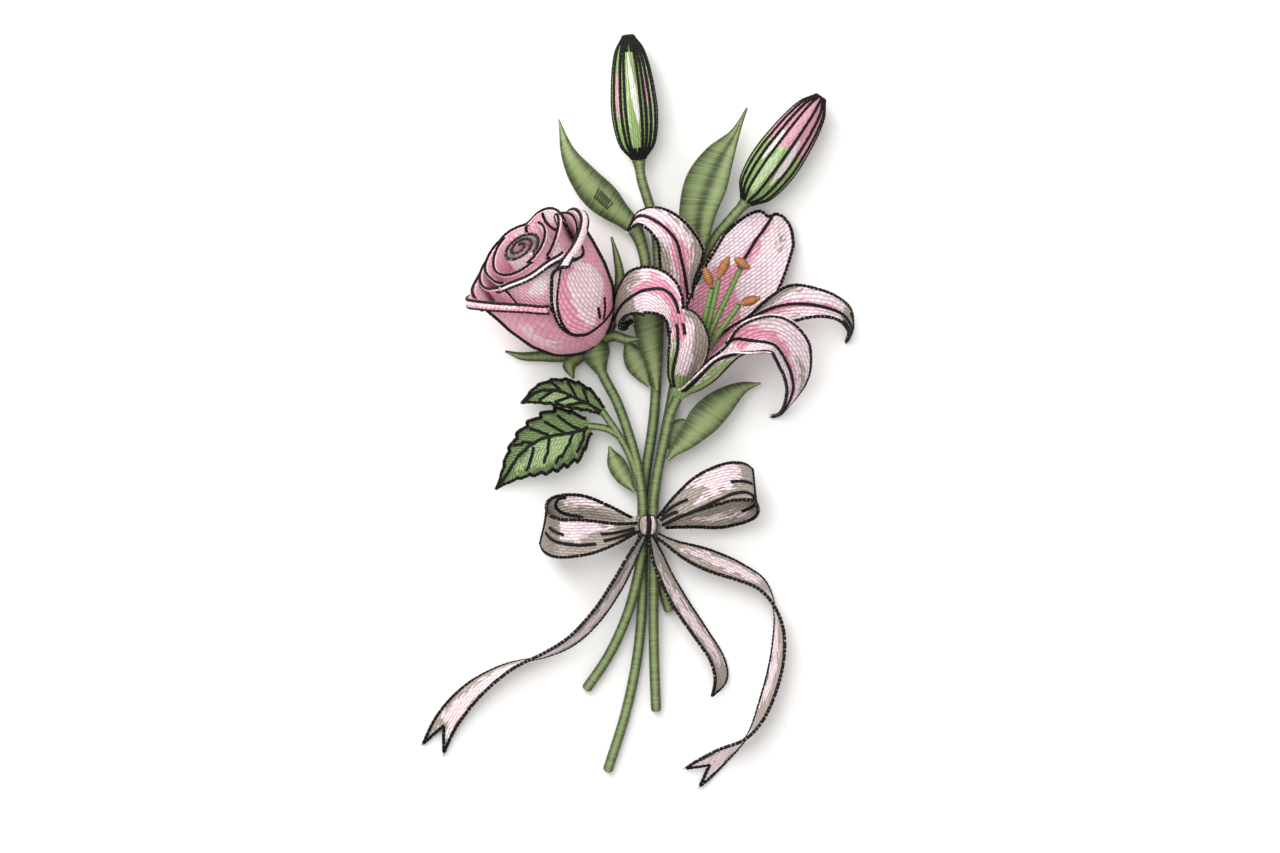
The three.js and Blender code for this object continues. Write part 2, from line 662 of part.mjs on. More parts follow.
const loops = {
  ribbon_loop_left: {
    spine: [
      [-5.4, -1.2, 20.6], [-20, -5, 25], [-38, -7, 27.5], [-50, -7, 25.5], [-56.5, -3, 19], [-54, 4, 12.5],
      [-42, 7, 9.6], [-24, 5, 11.5], [-8.4, 1.4, 16.6],
    ],
    halfWidths: [3.2, 6.5, 10, 11.2, 11.4, 11.2, 10, 6.5, 3.2],
    normals: [
      [0, 0, 1], [0, 0, 1], [0.1, -0.1, 1], [-1, 0, 0.3], [-0.4, 0.2, -0.9], [0, 0.1, -1], [0, 0, -1],
    ],
    along: 22,
  },
  ribbon_loop_right: {
    spine: [
      [6, 1.6, 20.6], [18, 11, 25], [34, 20, 28], [47.5, 24, 26], [57.5, 22, 19], [56, 14.5, 12.5],
      [43, 9, 9.6], [25, 5, 11.5], [8.4, 0.6, 16.6],
    ],
    halfWidths: [3.2, 6.5, 10, 11.2, 11.4, 11.2, 10, 6.5, 3.2],
    normals: [
      [0, 0, 1], [0, 0, 1], [0, 0.1, 1], [0.9, 0.3, 0.3], [0.4, 0, -0.9], [0, -0.1, -1], [0, 0, -1],
    ],
    along: 22,
  },
};

const tails = {
  ribbon_tail_left: {
    spine: [
      [-2.5, -6.3, 17.9], [-9.5, -19, 17.5], [-17, -33, 13], [-28, -49.5, 9.6], [-42, -63.5, 8.2],
      [-56, -71, 8], [-77, -78.5, 7.2], [-97, -92, 5.4], [-111, -108.5, 3.4], [-119, -125, 1.6],
    ],
    angles: [50, 62, 62, 62, 72, 90, 118, 145, 168, 178],
    notch: 0.09,
  },
  ribbon_tail_middle: {
    spine: [
      [1.7, -7.2, 17.4], [7.5, -23.5, 14.5], [16.5, -41, 11], [28.5, -59, 7.5], [38, -74, 7.4],
      [40, -85, 7], [35, -94.5, 4.4],
    ],
    angles: [50, 60, 50, 50, 55, 60, 40],
    tip: 0.6,
  },
  ribbon_tail_right: {
    spine: [
      [5.2, -6, 16.8], [17.5, -13, 14.5], [35, -20, 11], [50.5, -26, 8.8], [62.5, -33, 7.8],
      [70.5, -48, 7.4], [72, -66, 7.6], [67, -91, 8], [56, -115, 8.4], [39.5, -127.5, 6], [23, -140, 1.8],
    ],
    angles: [55, 35, 35, 55, 90, 118, 125, 118, 90, 45, 2],
    notch: 0.07,
    along: 22,
  },
};

// ---------- the bouquet ----------
const bouquet = new THREE.Group();
bouquet.name = "bouquet";

function place(name, geometry, color, roughness = 0.6) {
  const mesh = new THREE.Mesh(geometry, new THREE.MeshStandardMaterial({ color, roughness, metalness: 0 }));
  mesh.name = name;
  bouquet.add(mesh);
}

place("rose_bloom", geometryOf(roseBloom()), colours.rosePink);
place("rose_stem", geometryOf(roseStem()), colours.olive);
for (const [name, shape] of Object.entries(leaflets)) {
  const leaf = { ...shape, cup: [0.18], toothDepth: 0.16, across: 2, along: shape.teeth * 3 };
  place(name, blade({ ...leaf, edge: 0.9, middle: 1.8 }), colours.leafGreen);
}
place("lily_bloom", geometryOf(lilyBloom()), colours.lilyPink);
place("lily_filaments", geometryOf(lilyFilaments()), colours.filamentGreen);
stamens.forEach((one, i) => place(`lily_anther_${i + 1}`, anther(one), colours.anther));
place("bud_top", bud(budTop), colours.budGreen);
place("bud_side", bud(budSide), colours.budPink);
for (const [name, spine] of Object.entries(lilyStems))
  place(name, tube({ spine, radius: stemRadius, steps: 26 }), colours.olive);
for (const [name, shape] of Object.entries(leaves))
  place(name, blade({ along: 12, across: 4, ...shape }), colours.olive);
place("ribbon_band", ribbonBand(), colours.ribbon);
place("ribbon_knot", ribbonKnot(), colours.ribbon);
for (const [name, shape] of Object.entries(loops)) place(name, ribbon(shape), colours.ribbon);
for (const [name, shape] of Object.entries(tails)) place(name, ribbonTail(shape), colours.ribbon);

export default bouquet;
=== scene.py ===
import math
import random

import bmesh
import bpy
import numpy as np
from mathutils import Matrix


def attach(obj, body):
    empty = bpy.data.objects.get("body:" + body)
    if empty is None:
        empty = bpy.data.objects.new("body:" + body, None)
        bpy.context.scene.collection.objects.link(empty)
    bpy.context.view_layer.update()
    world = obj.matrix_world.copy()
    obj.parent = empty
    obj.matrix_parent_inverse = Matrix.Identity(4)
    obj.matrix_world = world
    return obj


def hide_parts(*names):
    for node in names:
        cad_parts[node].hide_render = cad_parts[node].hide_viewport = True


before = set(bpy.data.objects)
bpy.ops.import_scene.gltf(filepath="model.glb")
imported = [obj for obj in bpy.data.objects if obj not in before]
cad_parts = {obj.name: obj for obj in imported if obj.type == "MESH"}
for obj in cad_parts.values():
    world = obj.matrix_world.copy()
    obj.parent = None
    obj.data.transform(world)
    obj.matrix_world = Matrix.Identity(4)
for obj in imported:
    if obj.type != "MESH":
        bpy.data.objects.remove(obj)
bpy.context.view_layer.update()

# A flower bouquet worked in stitched thread, lying down with its blooms turned up. The shapes are given in
# millimetres, with the tie at the origin, +Y towards the blooms and +Z up, and made in metres.
scene = bpy.context.scene
mm = 0.001
random.seed(11)

# camera, light and floor, in mm
studio = {
    "centre": (-4.4, 54.2),  # what the middle of the picture looks down on
    "cameraHeight": 900,
    "widthSeen": 704,
    "farthestSeen": 10000,
    "floorSize": 3000,
    "floorDrop": 0.3,
    "floorColour": "#f4f3f1",
    "floorRoughness": 0.9,
    "floorSpecular": 0.1,
    "skyStrength": 0.86,
    # each softbox has its place, the length of its side and its power in watts
    "softboxes": {
        "keyLight": {"place": (-300, 520, 1150), "size": 900, "power": 9.5},
        "fillLight": {"place": (-620, 900, 560), "size": 500, "power": 6},
    },
}


def linear(colour):
    # an sRGB hex colour as the linear values that a shader takes
    parts = [int(colour[k : k + 2], 16) / 255 for k in (1, 3, 5)]
    return [p / 12.92 if p <= 0.04045 else ((p + 0.055) / 1.055) ** 2.4 for p in parts] + [1.0]


def addNode(tree, kind, inputs=None, **settings):
    # a shader node with its own settings. Each input gets a value, or a link from another node's output
    node = tree.nodes.new("ShaderNode" + kind)
    for key, value in settings.items():
        setattr(node, key, value)
    for key, value in (inputs or {}).items():
        if isinstance(value, bpy.types.NodeSocket):
            tree.links.new(value, node.inputs[key])
        else:
            node.inputs[key].default_value = value
    return node.outputs


camera = bpy.data.objects.new("camera", bpy.data.cameras.new("camera"))
camera.data.type = "ORTHO"
camera.data.ortho_scale = studio["widthSeen"] * mm
camera.data.clip_end = studio["farthestSeen"] * mm
camera.location = (studio["centre"][0] * mm, studio["centre"][1] * mm, studio["cameraHeight"] * mm)
scene.collection.objects.link(camera)
scene.camera = camera
scene.view_settings.view_transform = "Standard"

for name, softbox in studio["softboxes"].items():
    light = bpy.data.objects.new(name, bpy.data.lights.new(name, "AREA"))
    light.data.size = softbox["size"] * mm
    light.data.energy = softbox["power"]
    light.location = [x * mm for x in softbox["place"]]
    light.rotation_euler = (-light.location).to_track_quat("-Z", "Y").to_euler()
    scene.collection.objects.link(light)

scene.world = bpy.data.worlds.new("studioSky")
scene.world.use_nodes = True
scene.world.node_tree.nodes["Background"].inputs[0].default_value = (1, 1, 1, 1)
scene.world.node_tree.nodes["Background"].inputs[1].default_value = studio["skyStrength"]

# paper with no shine, so that only soft shadows show on it
floorMaterial = bpy.data.materials.new("matt_paper_floor")
floorMaterial.use_nodes = True
floorShader = floorMaterial.node_tree.nodes["Principled BSDF"]
floorShader.inputs["Base Color"].default_value = linear(studio["floorColour"])
floorShader.inputs["Roughness"].default_value = studio["floorRoughness"]
floorShader.inputs["Specular IOR Level"].default_value = studio["floorSpecular"]

bm = bmesh.new()
bmesh.ops.create_grid(bm, x_segments=1, y_segments=1, size=studio["floorSize"] / 2 * mm)
bmesh.ops.translate(bm, verts=bm.verts, vec=(0, 0, -studio["floorDrop"] * mm))
floorMesh = bpy.data.meshes.new("floor")
bm.to_mesh(floorMesh)
bm.free()
floorMesh.materials.append(floorMaterial)
floor = bpy.data.objects.new("floor", floorMesh)
scene.collection.objects.link(floor)
print("camera, light and floor are set")

# Rayon embroidery thread: soft sheen, rows of stitches side by side, and a groove between the rows. Real
# thread is about 0.4 mm; rows here are as coarse as the picture shows them. row and stitch are the width of
# a row and the length of a stitch in mm. ground is the first colour, and zones are the colours laid over
# it, where a piece's zones attribute is above zero. The groove colour is painted shade: the colour is
# darkened towards it in the grooves between the rows. fray is how far stitches of two colours run into
# each other, soft how wide the change is in one stitch, uneven how much the threads differ in lightness,
# and relief how high the rows stand, in mm.
fillStitch = {"row": 1.85, "stitch": 3.6, "fray": 2.6, "soft": 0.5, "uneven": 0.16, "relief": 0.4}
satinStitch = {"stitch": 60, "soft": 0.9, "uneven": 0.12, "relief": 0.3}
threads = {
    # slanting rows of pink that show as fine dashes, with pale areas where a petal turns to the light
    "rose_petal_thread": {**fillStitch, "ground": "#e9a6b8", "zones": ["#f1dee3", "#cf8397", "#efc8d3"],
                          "grooveShade": "#d3b3bb"},
    # painted light: the same rows in lighter colours, to make up for the shade that the inner petals stand
    # in
    "rose_heart_painted_light_thread": {**fillStitch, "ground": "#ffd2dd", "zones": ["#fffafb", "#e8a5b6", "#fdebf0"],
                          "grooveShade": "#e6ced4"},
    # nearly white rows that fray into pink, grey-olive and green
    "lily_tepal_thread": {**fillStitch, "ground": "#f6e6ea", "zones": ["#e39cb0", "#a39c8f", "#8cab62"],
                          "grooveShade": "#cbb3bb", "fray": 3.4},
    # finer rows along the bud, so that its ridges read as straight
    "bud_thread": {**fillStitch, "ground": "#93b06b", "zones": ["#e6a2b4", "#f8e8ed", "#c0d0a2"],
                   "grooveShade": "#c3c8ba", "row": 1.2, "stitch": 4.5, "fray": 1.6, "relief": 0.35},
    # short rows that lean away from the rib, mottled light and dark
    "leaflet_thread": {**fillStitch, "ground": "#7b9158", "zones": ["#a9bd8a", "#4f633c"],
                       "grooveShade": "#a9b39c", "row": 1.5, "fray": 3.6, "soft": 0.8, "uneven": 0.2},
    # taupe rows with long frayed streaks of pale pink
    "ribbon_thread": {**fillStitch, "ground": "#aea599", "zones": ["#f6e3e9", "#8e857b"],
                      "grooveShade": "#cbbcbc", "row": 1.6, "stitch": 4.4, "fray": 4.2, "uneven": 0.18,
                      "relief": 0.35},
    # long stitches straight across a leaf or stem, with hardly a groove: smooth. Its zone is a dark green
    # laid as painted shade at the sides, where the rounded stitches turn from the light; the darned patch
    # of darker stitches uses it too
    "olive_satin_thread": {**satinStitch, "ground": "#8f9f6a", "zones": ["#36431f"], "grooveShade": "#e3e6da",
                           "row": 1.4, "fray": 0.4, "relief": 0.08},
    # thin wound threads, each turn clear to see. Their zone is a darker tone of the thread, laid as painted
    # shade along the sides of the round filaments and anthers
    "green_satin_thread": {**satinStitch, "ground": "#8fb166", "zones": ["#466130"], "grooveShade": "#aebd98",
                           "row": 1.25, "fray": 0.2},
    "ochre_satin_thread": {**satinStitch, "ground": "#bd8450", "zones": ["#6f411c"], "grooveShade": "#c3a184",
                           "row": 1.2, "fray": 0.25, "uneven": 0.14},
    # near black with a dull shine, so that the outlines stay dark under the lights
    "black_outline_thread": {"ground": "#191718", "zones": [], "grooveShade": "#b0b0b0", "row": 0.65,
                             "stitch": 20, "uneven": 0.1, "relief": 0.1, "sheen": 0, "gloss": 0.15},
}
threadRoughness = 0.52
threadSheen = 0.12
threadGloss = 0.35
rowStep = 0.38  # in stitches
dipPower = 0.4  # lower is a shorter dip between two stitches
waver = {"scale": 0.11, "reach": 0.9}  # how often to the millimetre, and how many millimetres, rows wander


def threadMaterial(name, look):
    material = bpy.data.materials.new(name)
    material.use_nodes = True
    tree = material.node_tree
    tree.nodes.clear()
    place = addNode(tree, "UVMap", uv_map="thread")[0]
    wander = addNode(tree, "TexNoise", {0: place, 2: waver["scale"], 3: 1.0}, noise_dimensions="2D")[1]
    bent = addNode(tree, "VectorMath", {0: wander, 1: (waver["reach"], waver["reach"], 0), 2: place},
                   operation="MULTIPLY_ADD")[0]
    counted = addNode(tree, "VectorMath", {0: bent, 1: (1 / look["row"], 1 / look["stitch"], 0)},
                      operation="MULTIPLY")[0]
    parted = addNode(tree, "SeparateXYZ", {0: counted})
    # each row starts its stitches a step later than the row before, as machine fill does
    row = addNode(tree, "Math", {0: parted[0]}, operation="FLOOR")[0]
    along = addNode(tree, "Math", {0: row, 1: rowStep, 2: parted[1]}, operation="MULTIPLY_ADD")[0]
    # which single thread, two to a row, and which of its stitches a point is in
    doubled = addNode(tree, "Math", {0: parted[0], 1: 2}, operation="MULTIPLY")[0]
    thread = addNode(tree, "Math", {0: doubled}, operation="FLOOR")[0]
    threadStart = addNode(tree, "TexWhiteNoise", {1: thread}, noise_dimensions="1D")[0]
    shifted = addNode(tree, "Math", {0: parted[1], 1: threadStart}, operation="ADD")[0]
    stitch = addNode(tree, "Math", {0: shifted}, operation="FLOOR")[0]
    both = addNode(tree, "CombineXYZ", {0: thread, 1: stitch})[0]
    pick = addNode(tree, "TexWhiteNoise", {0: both}, noise_dimensions="2D")[0]
    # the rounded height of the thread: high in the middle of its row, and dipping at the ends of a stitch
    rounded = []
    for place in (parted[0], along):
        turn = addNode(tree, "Math", {0: place, 1: math.pi}, operation="MULTIPLY")[0]
        swing = addNode(tree, "Math", {0: turn}, operation="SINE")[0]
        rounded.append(addNode(tree, "Math", {0: swing}, operation="ABSOLUTE")[0])
    dip = addNode(tree, "Math", {0: rounded[1], 1: dipPower}, operation="POWER")[0]
    height = addNode(tree, "Math", {0: rounded[0], 1: dip}, operation="MULTIPLY")[0]
    # the colours of the zones, each frayed into the one below it stitch by stitch
    colour = addNode(tree, "RGB")[0]
    colour.default_value = linear(look["ground"])
    if look["zones"]:
        zones = addNode(tree, "Attribute", attribute_name="zones")[0]
        zone = addNode(tree, "SeparateXYZ", {0: zones})
        middle, soft = look["fray"] / 2, look["soft"] / 2
        for k, zoneColour in enumerate(look["zones"]):
            frayed = addNode(tree, "Math", {0: pick, 1: look["fray"], 2: zone[k]},
                             operation="MULTIPLY_ADD")[0]
            share = addNode(tree, "MapRange", {0: frayed, 1: middle - soft, 2: middle + soft})[0]
            colour = addNode(tree, "Mix", {0: share, 6: colour, 7: linear(zoneColour)}, data_type="RGBA")[2]
    # painted shade: the colour is darkened and tinted in the grooves between the rows, as shade and light
    # bounced between them would do
    grooveShading = addNode(tree, "Mix", {0: height, 6: linear(look["grooveShade"]), 7: (1, 1, 1, 1)},
                    data_type="RGBA")[2]
    deepened = addNode(tree, "VectorMath", {0: colour, 1: grooveShading}, operation="MULTIPLY")[0]
    tint = addNode(tree, "MapRange", {0: pick, 3: 1 - look["uneven"], 4: 1 + look["uneven"] / 2})[0]
    shaded = addNode(tree, "VectorMath", {0: deepened, 3: tint}, operation="SCALE")[0]
    bump = addNode(tree, "Bump", {0: 1.0, 1: look["relief"] * mm, "Height": height})[0]
    shader = addNode(tree, "BsdfPrincipled", {
        "Base Color": shaded,
        "Normal": bump,
        "Roughness": threadRoughness,
        "Sheen Weight": look.get("sheen", threadSheen),
        "Specular IOR Level": look.get("gloss", threadGloss),
    })
    addNode(tree, "OutputMaterial", {0: shader[0]})
    return material


materials = {name: threadMaterial(name, look) for name, look in threads.items()}
print("thread materials are made")


# smooth lines, and the forms that follow them
def readAlong(values, t):
    # a list of values spread evenly over 0 to 1, read smoothly at t
    values = np.asarray(values, float)
    if len(values) == 1:
        return np.full(np.shape(t), values[0])
    place = np.clip(t, 0, 1) * (len(values) - 1)
    i = np.minimum(place.astype(int), len(values) - 2)
    f = place - i
    a, b = values[i], values[i + 1]
    slopeA = (b - values[np.maximum(i - 1, 0)]) / 2
    slopeB = (values[np.minimum(i + 2, len(values) - 1)] - a) / 2
    curved = a * (2 * f**3 - 3 * f**2 + 1) + b * (3 * f**2 - 2 * f**3)
    return curved + slopeA * (f**3 - 2 * f**2 + f) + slopeB * (f**3 - f**2)


def unit(vectors):
    return vectors / np.maximum(np.linalg.norm(vectors, axis=-1, keepdims=True), 1e-9)


def wayAlong(points):
    # how far along a line of points each of them lies
    return np.concatenate([[0], np.cumsum(np.linalg.norm(np.diff(points, axis=0), axis=1))])


def readPoints(t, marks, points):
    return np.column_stack([np.interp(t, marks, points[:, k]) for k in range(3)])


class Line:
    # a smooth line through points, read at even distances
    def __init__(self, points, fine=40, count=600):
        p = [np.array(x, float) for x in points]
        p = [2 * p[0] - p[1], *p, 2 * p[-1] - p[-2]]
        found = []
        for k in range(1, len(p) - 2):
            before, a, b, after = p[k - 1 : k + 3]
            gaps = [max(np.linalg.norm(y - x) ** 0.5, 1e-4) for x, y in ((before, a), (a, b), (b, after))]
            slopeA = (a - before) / gaps[0] - (b - before) / (gaps[0] + gaps[1]) + (b - a) / gaps[1]
            slopeB = (b - a) / gaps[1] - (after - a) / (gaps[1] + gaps[2]) + (after - b) / gaps[2]
            slopeA, slopeB = slopeA * gaps[1], slopeB * gaps[1]
            w = np.linspace(0, 1, fine, endpoint=False)[:, None]
            bend = (3 * (b - a) - 2 * slopeA - slopeB) * w**2 + (2 * (a - b) + slopeA + slopeB) * w**3
            found.append(a + slopeA * w + bend)
        found.append(p[-2][None])
        rough = np.vstack(found)
        way = wayAlong(rough)
        self.length = way[-1]
        self.t = np.linspace(0, 1, count)
        self.points = readPoints(self.t * self.length, way, rough)
        self.ways = unit(np.gradient(self.points, axis=0))

    def at(self, t):
        return readPoints(t, self.t, self.points)

    def way(self, t):
        return unit(readPoints(t, self.t, self.ways))


class Form:
    # a shape that u runs across or round, from -1 to 1, and v along, from 0 to 1. A piece's own dictionary
    # takes the place of what is set here
    columns, rows = 12, 0  # of its mesh, and no rows stand for rowsPerTurn to each turn of satin thread
    pitch = 1.5  # of satin thread
    closed = False  # a tube
    slant = 0  # degrees that the rows of stitches turn from its line
    chevron = False  # rows that lean away from its middle on both sides
    # shade is painted shade on satin: how dark its colour is made across it, darkest at the sides where the
    # rounded stitches turn from the light
    shade = None  # how dark satin is, from u -1 to 1
    bands = []
    lines = []
    wall = 0.0

    def __init__(self, **look):
        for key, value in look.items():
            setattr(self, key, value)
        if "spine" in look:
            self.line = Line(self.spine)
            self.length = self.line.length

    def reached(self, u, v):
        # how far along its line a point lies
        return v

    def spread(self, share):
        # where the rows of its mesh lie
        return share

    def half(self, t):
        # half its width, or half the way round it
        return np.full(np.shape(t), self.halfWidth)

    def thick(self, u, v):
        return np.full(np.shape(u), self.wall)


class Blade(Form):
    # a leaf, petal or ribbon along a line
    normals = [(0, 0, 1)]
    cup = [0]
    edge, middle = 0.8, 2.6  # how thick it is there
    wave, waves = 0, 5
    notch = 0
    tip = [0]  # how far short of the end it stops, from u -1 to 1
    teeth, toothDepth = 0, 0
    stitchEdge = 0  # how far the ends of its satin stitches stand out of its margin
    leftShare = rightShare = [1]  # how much of the half width each side has

    def half(self, t):
        return np.maximum(readAlong(self.halfWidths, t), 0.05)

    def reached(self, u, v):
        return v * (1 - self.notch * (1 - np.abs(u))) * (1 - readAlong(self.tip, (u + 1) / 2))

    def at(self, u, v):
        t = self.reached(u, v)
        way = self.line.way(t)
        face = np.column_stack([readAlong(part, t) for part in zip(*self.normals)])
        sideways = unit(np.cross(way, face))
        normal = np.cross(sideways, way)
        half = self.half(t) * np.where(u < 0, readAlong(self.leftShare, t), readAlong(self.rightShare, t))
        if self.teeth:
            inside = (v > 0) & (v < 1)
            half = np.where(inside, half * (1 - self.toothDepth * (1 - (v * self.teeth) % 1)), half)
        lift = readAlong(self.cup, t) * half * u * u
        lift = lift + self.wave * np.sin(self.waves * np.pi * t + u) * u * u
        reach = u * half
        if self.stitchEdge:
            bulge = np.abs(np.sin(np.pi * v * self.length / self.pitch)) - 0.5
            reach = reach + np.sign(u) * self.stitchEdge * bulge * np.clip(np.abs(u) * 4 - 3, 0, 1)
        return self.line.at(t) + sideways * reach[:, None] + normal * lift[:, None]

    def thick(self, u, v):
        # thickest along its middle, and thinner over the last quarter of its length
        return self.edge + (self.middle - self.edge) * (1 - u * u) * np.minimum(1, 4 * (1 - v) + 0.2)


class Tube(Form):
    # a round form along a line, with u starting at its underside
    closed = True
    wound = 0  # how far each turn of satin thread stands out
    ribs, ribDepth = 0, 0  # ridges along it
    roundStart, roundEnd = 0, 0

    def half(self, t):
        return np.pi * np.maximum(readAlong(self.radii, t), 0.05)

    def at(self, u, v):
        way = self.line.way(v)
        up = unit(np.array([0, 0, 1]) - way * way[:, 2:3])
        side = np.cross(way, up)
        angle = np.pi * u
        far = readAlong(self.radii, v)
        far = far * (1 + self.ribDepth * np.cos(self.ribs * angle))
        far = far + self.wound * (np.abs(np.sin(np.pi * v * self.length / self.pitch)) - 0.5)
        for reach, gap in ((self.roundStart, v * self.length), (self.roundEnd, (1 - v) * self.length)):
            if reach:
                far = far * np.sqrt(np.maximum(1 - np.maximum(1 - gap / reach, 0) ** 2, 0.02))
        return self.line.at(v) + up * (far * np.cos(angle))[:, None] + side * (far * np.sin(angle))[:, None]


def normalsOf(form, u, v, step=1e-3):
    du = form.at(np.minimum(u + step, 1), v) - form.at(np.maximum(u - step, -1), v)
    dv = form.at(u, np.minimum(v + step, 1)) - form.at(u, np.maximum(v - step, 0))
    return unit(np.cross(du, dv))


# the meshes of the forms
rowsPerTurn = 4
farInside = 50.0  # mm, too far from the margin of a band for its stitches to fray
sharpAngle = 50  # degrees, above which an edge isn't shaded smooth


def fill(zone, span, at, half, firm=1, along="v"):
    # a band of one of the thread's zone colours, over a span of v, or of u if it runs along u. at is its
    # middle and half its reach on both sides, each spread evenly over the span. A firm band frays less.
    return {"zone": zone, "span": span, "at": at, "half": half, "firm": firm, "along": along}


def newWork():
    bm = bmesh.new()
    bm.loops.layers.uv.new("thread")
    bm.verts.layers.float_color.new("zones")
    return bm


def threadPlace(form, u, v):
    # where a point lies in the stitching, in mm: across the rows, and along them
    t = form.reached(u, v)
    across, along = u * form.half(t), t * form.length
    across = np.abs(across) if form.chevron else across
    turn = math.radians(form.slant)
    return np.column_stack([across * math.cos(turn) - along * math.sin(turn),
                            across * math.sin(turn) + along * math.cos(turn)])


def bandZones(form, u, v):
    # how far inside its colour zones each point is, in mm
    zones = np.full((len(u), 4), -farInside)
    half = np.minimum(form.half(v), farInside)
    for band in form.bands:
        start, end = band["span"]
        alongU = band["along"] == "u"
        way, across = (u, v) if alongU else (v, u)
        wayLength, acrossLength = (half, form.length) if alongU else (form.length, half)
        first = -1 if alongU else 0
        t = (way - start) / (end - start)
        inside = (readAlong(band["half"], t) - np.abs(across - readAlong(band["at"], t))) * acrossLength
        ends = np.minimum(np.where(start <= first, farInside, (way - start) * wayLength),
                          np.where(end >= 1, farInside, (end - way) * wayLength))
        inside = np.minimum(inside, ends) * band["firm"]
        zones[:, band["zone"]] = np.maximum(zones[:, band["zone"]], inside)
    zones[:, 3] = 1
    return zones


def addForm(bm, form):
    # closed forms are wound round into a tube and capped, and open ones get a front and a back
    rows = form.rows or math.ceil(form.length / form.pitch) * rowsPerTurn
    verts = bmesh.ops.create_grid(bm, x_segments=form.columns, y_segments=rows, size=0.5,
                                  calc_uvs=True)["verts"]
    faces = list(dict.fromkeys(face for vert in verts for face in vert.link_faces))
    if not form.closed:
        grown = bmesh.ops.extrude_face_region(bm, geom=faces, use_keep_orig=True)["geom"]
        front = [part for part in grown if isinstance(part, bmesh.types.BMVert)]
        for vert in front:
            vert.co.z = 1
        verts = verts + front
        faces = list(dict.fromkeys(face for vert in verts for face in vert.link_faces))
    flat = np.array([vert.co for vert in verts])
    u = np.clip(2 * flat[:, 0], -1, 1)
    v = form.spread(np.clip(flat[:, 1] + 0.5, 0, 1))
    places = form.at(u, v)
    if not form.closed:
        places += normalsOf(form, u, v) * ((flat[:, 2] - 0.5) * form.thick(u, v))[:, None]
    places[:, 2] = np.maximum(places[:, 2], 0)
    zones = bandZones(form, u, v)
    # painted shade on satin: the shade list sets zone 0, the dark thread colour, across the piece
    if form.shade:
        zones[:, 0] = readAlong(form.shade, (u + 1) / 2) - 0.5  # the change of thread is at half way
    zoneLayer = bm.verts.layers.float_color["zones"]
    for vert, place, zone in zip(verts, places * mm, zones):
        vert.co = place
        vert[zoneLayer] = zone
    uvLayer = bm.loops.layers.uv["thread"]
    loops = [loop[uvLayer] for face in faces for loop in face.loops]
    shares = np.array([loop.uv for loop in loops])
    stitched = threadPlace(form, 2 * shares[:, 0] - 1, form.spread(shares[:, 1]))
    for loop, place in zip(loops, stitched):
        loop.uv = place
    if form.closed:
        bmesh.ops.remove_doubles(bm, verts=verts, dist=1e-7)
        edges = dict.fromkeys(edge for face in faces for edge in face.edges)
        rims = [edge for edge in edges if edge.is_boundary]
        faces = faces + bmesh.ops.holes_fill(bm, edges=rims, sides=0)["faces"]
    bmesh.ops.recalc_face_normals(bm, faces=faces)


def finishPiece(name, bm, thread, nodes):
    mesh = bpy.data.meshes.new(name)
    bm.to_mesh(mesh)
    bm.free()
    mesh.shade_smooth()
    mesh.set_sharp_from_angle(angle=math.radians(sharpAngle))
    mesh.materials.append(materials[thread])
    piece = bpy.data.objects.new(name, mesh)
    scene.collection.objects.link(piece)
    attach(piece, "root")
    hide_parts(*nodes)
    return piece


def addPiece(name, form, thread, node):
    bm = newWork()
    addForm(bm, form)
    return finishPiece(name, bm, thread, [node])


# outline stitches
stitching = {
    "length": 2.3,  # of one stitch along the line
    "strand": 1.3,  # width of one of the two strands that lie side by side
    "height": 1.1,
    "apart": 0.37,  # from the line to each strand
    "overlap": 1.3,
    "turn": 8,  # degrees that a strand may lie askew
    "shift": 0.07,  # of its length that a strand may lie ahead or behind
    "lift": 0.15,
    "inset": 0.8,  # of a line that is sewn over a margin
    "wrap": 1.1,  # how much thicker than the margin its stitches are
    "lowest": 0.02,
    "blunt": 0.7,  # lower is a blunter end, as thread has where it dives into the cloth
}
strandShape = bmesh.new()
strandShape.loops.layers.uv.new("thread")
bmesh.ops.create_uvsphere(strandShape, u_segments=6, v_segments=5, radius=0.5, calc_uvs=True)
for vert in strandShape.verts:
    vert.co.z = math.copysign(abs(2 * vert.co.z) ** stitching["blunt"], vert.co.z) / 2
strandMesh = bpy.data.meshes.new("strand")
strandShape.to_mesh(strandMesh)
strandShape.free()
strandPlaces = np.array([vert.co for vert in strandMesh.vertices])


def seam(side, path, **look):
    # a row of stitches along (u, v) points of a form: side 1 is its face, -1 its back, 0 its edge
    return {"side": side, "path": path, **look}


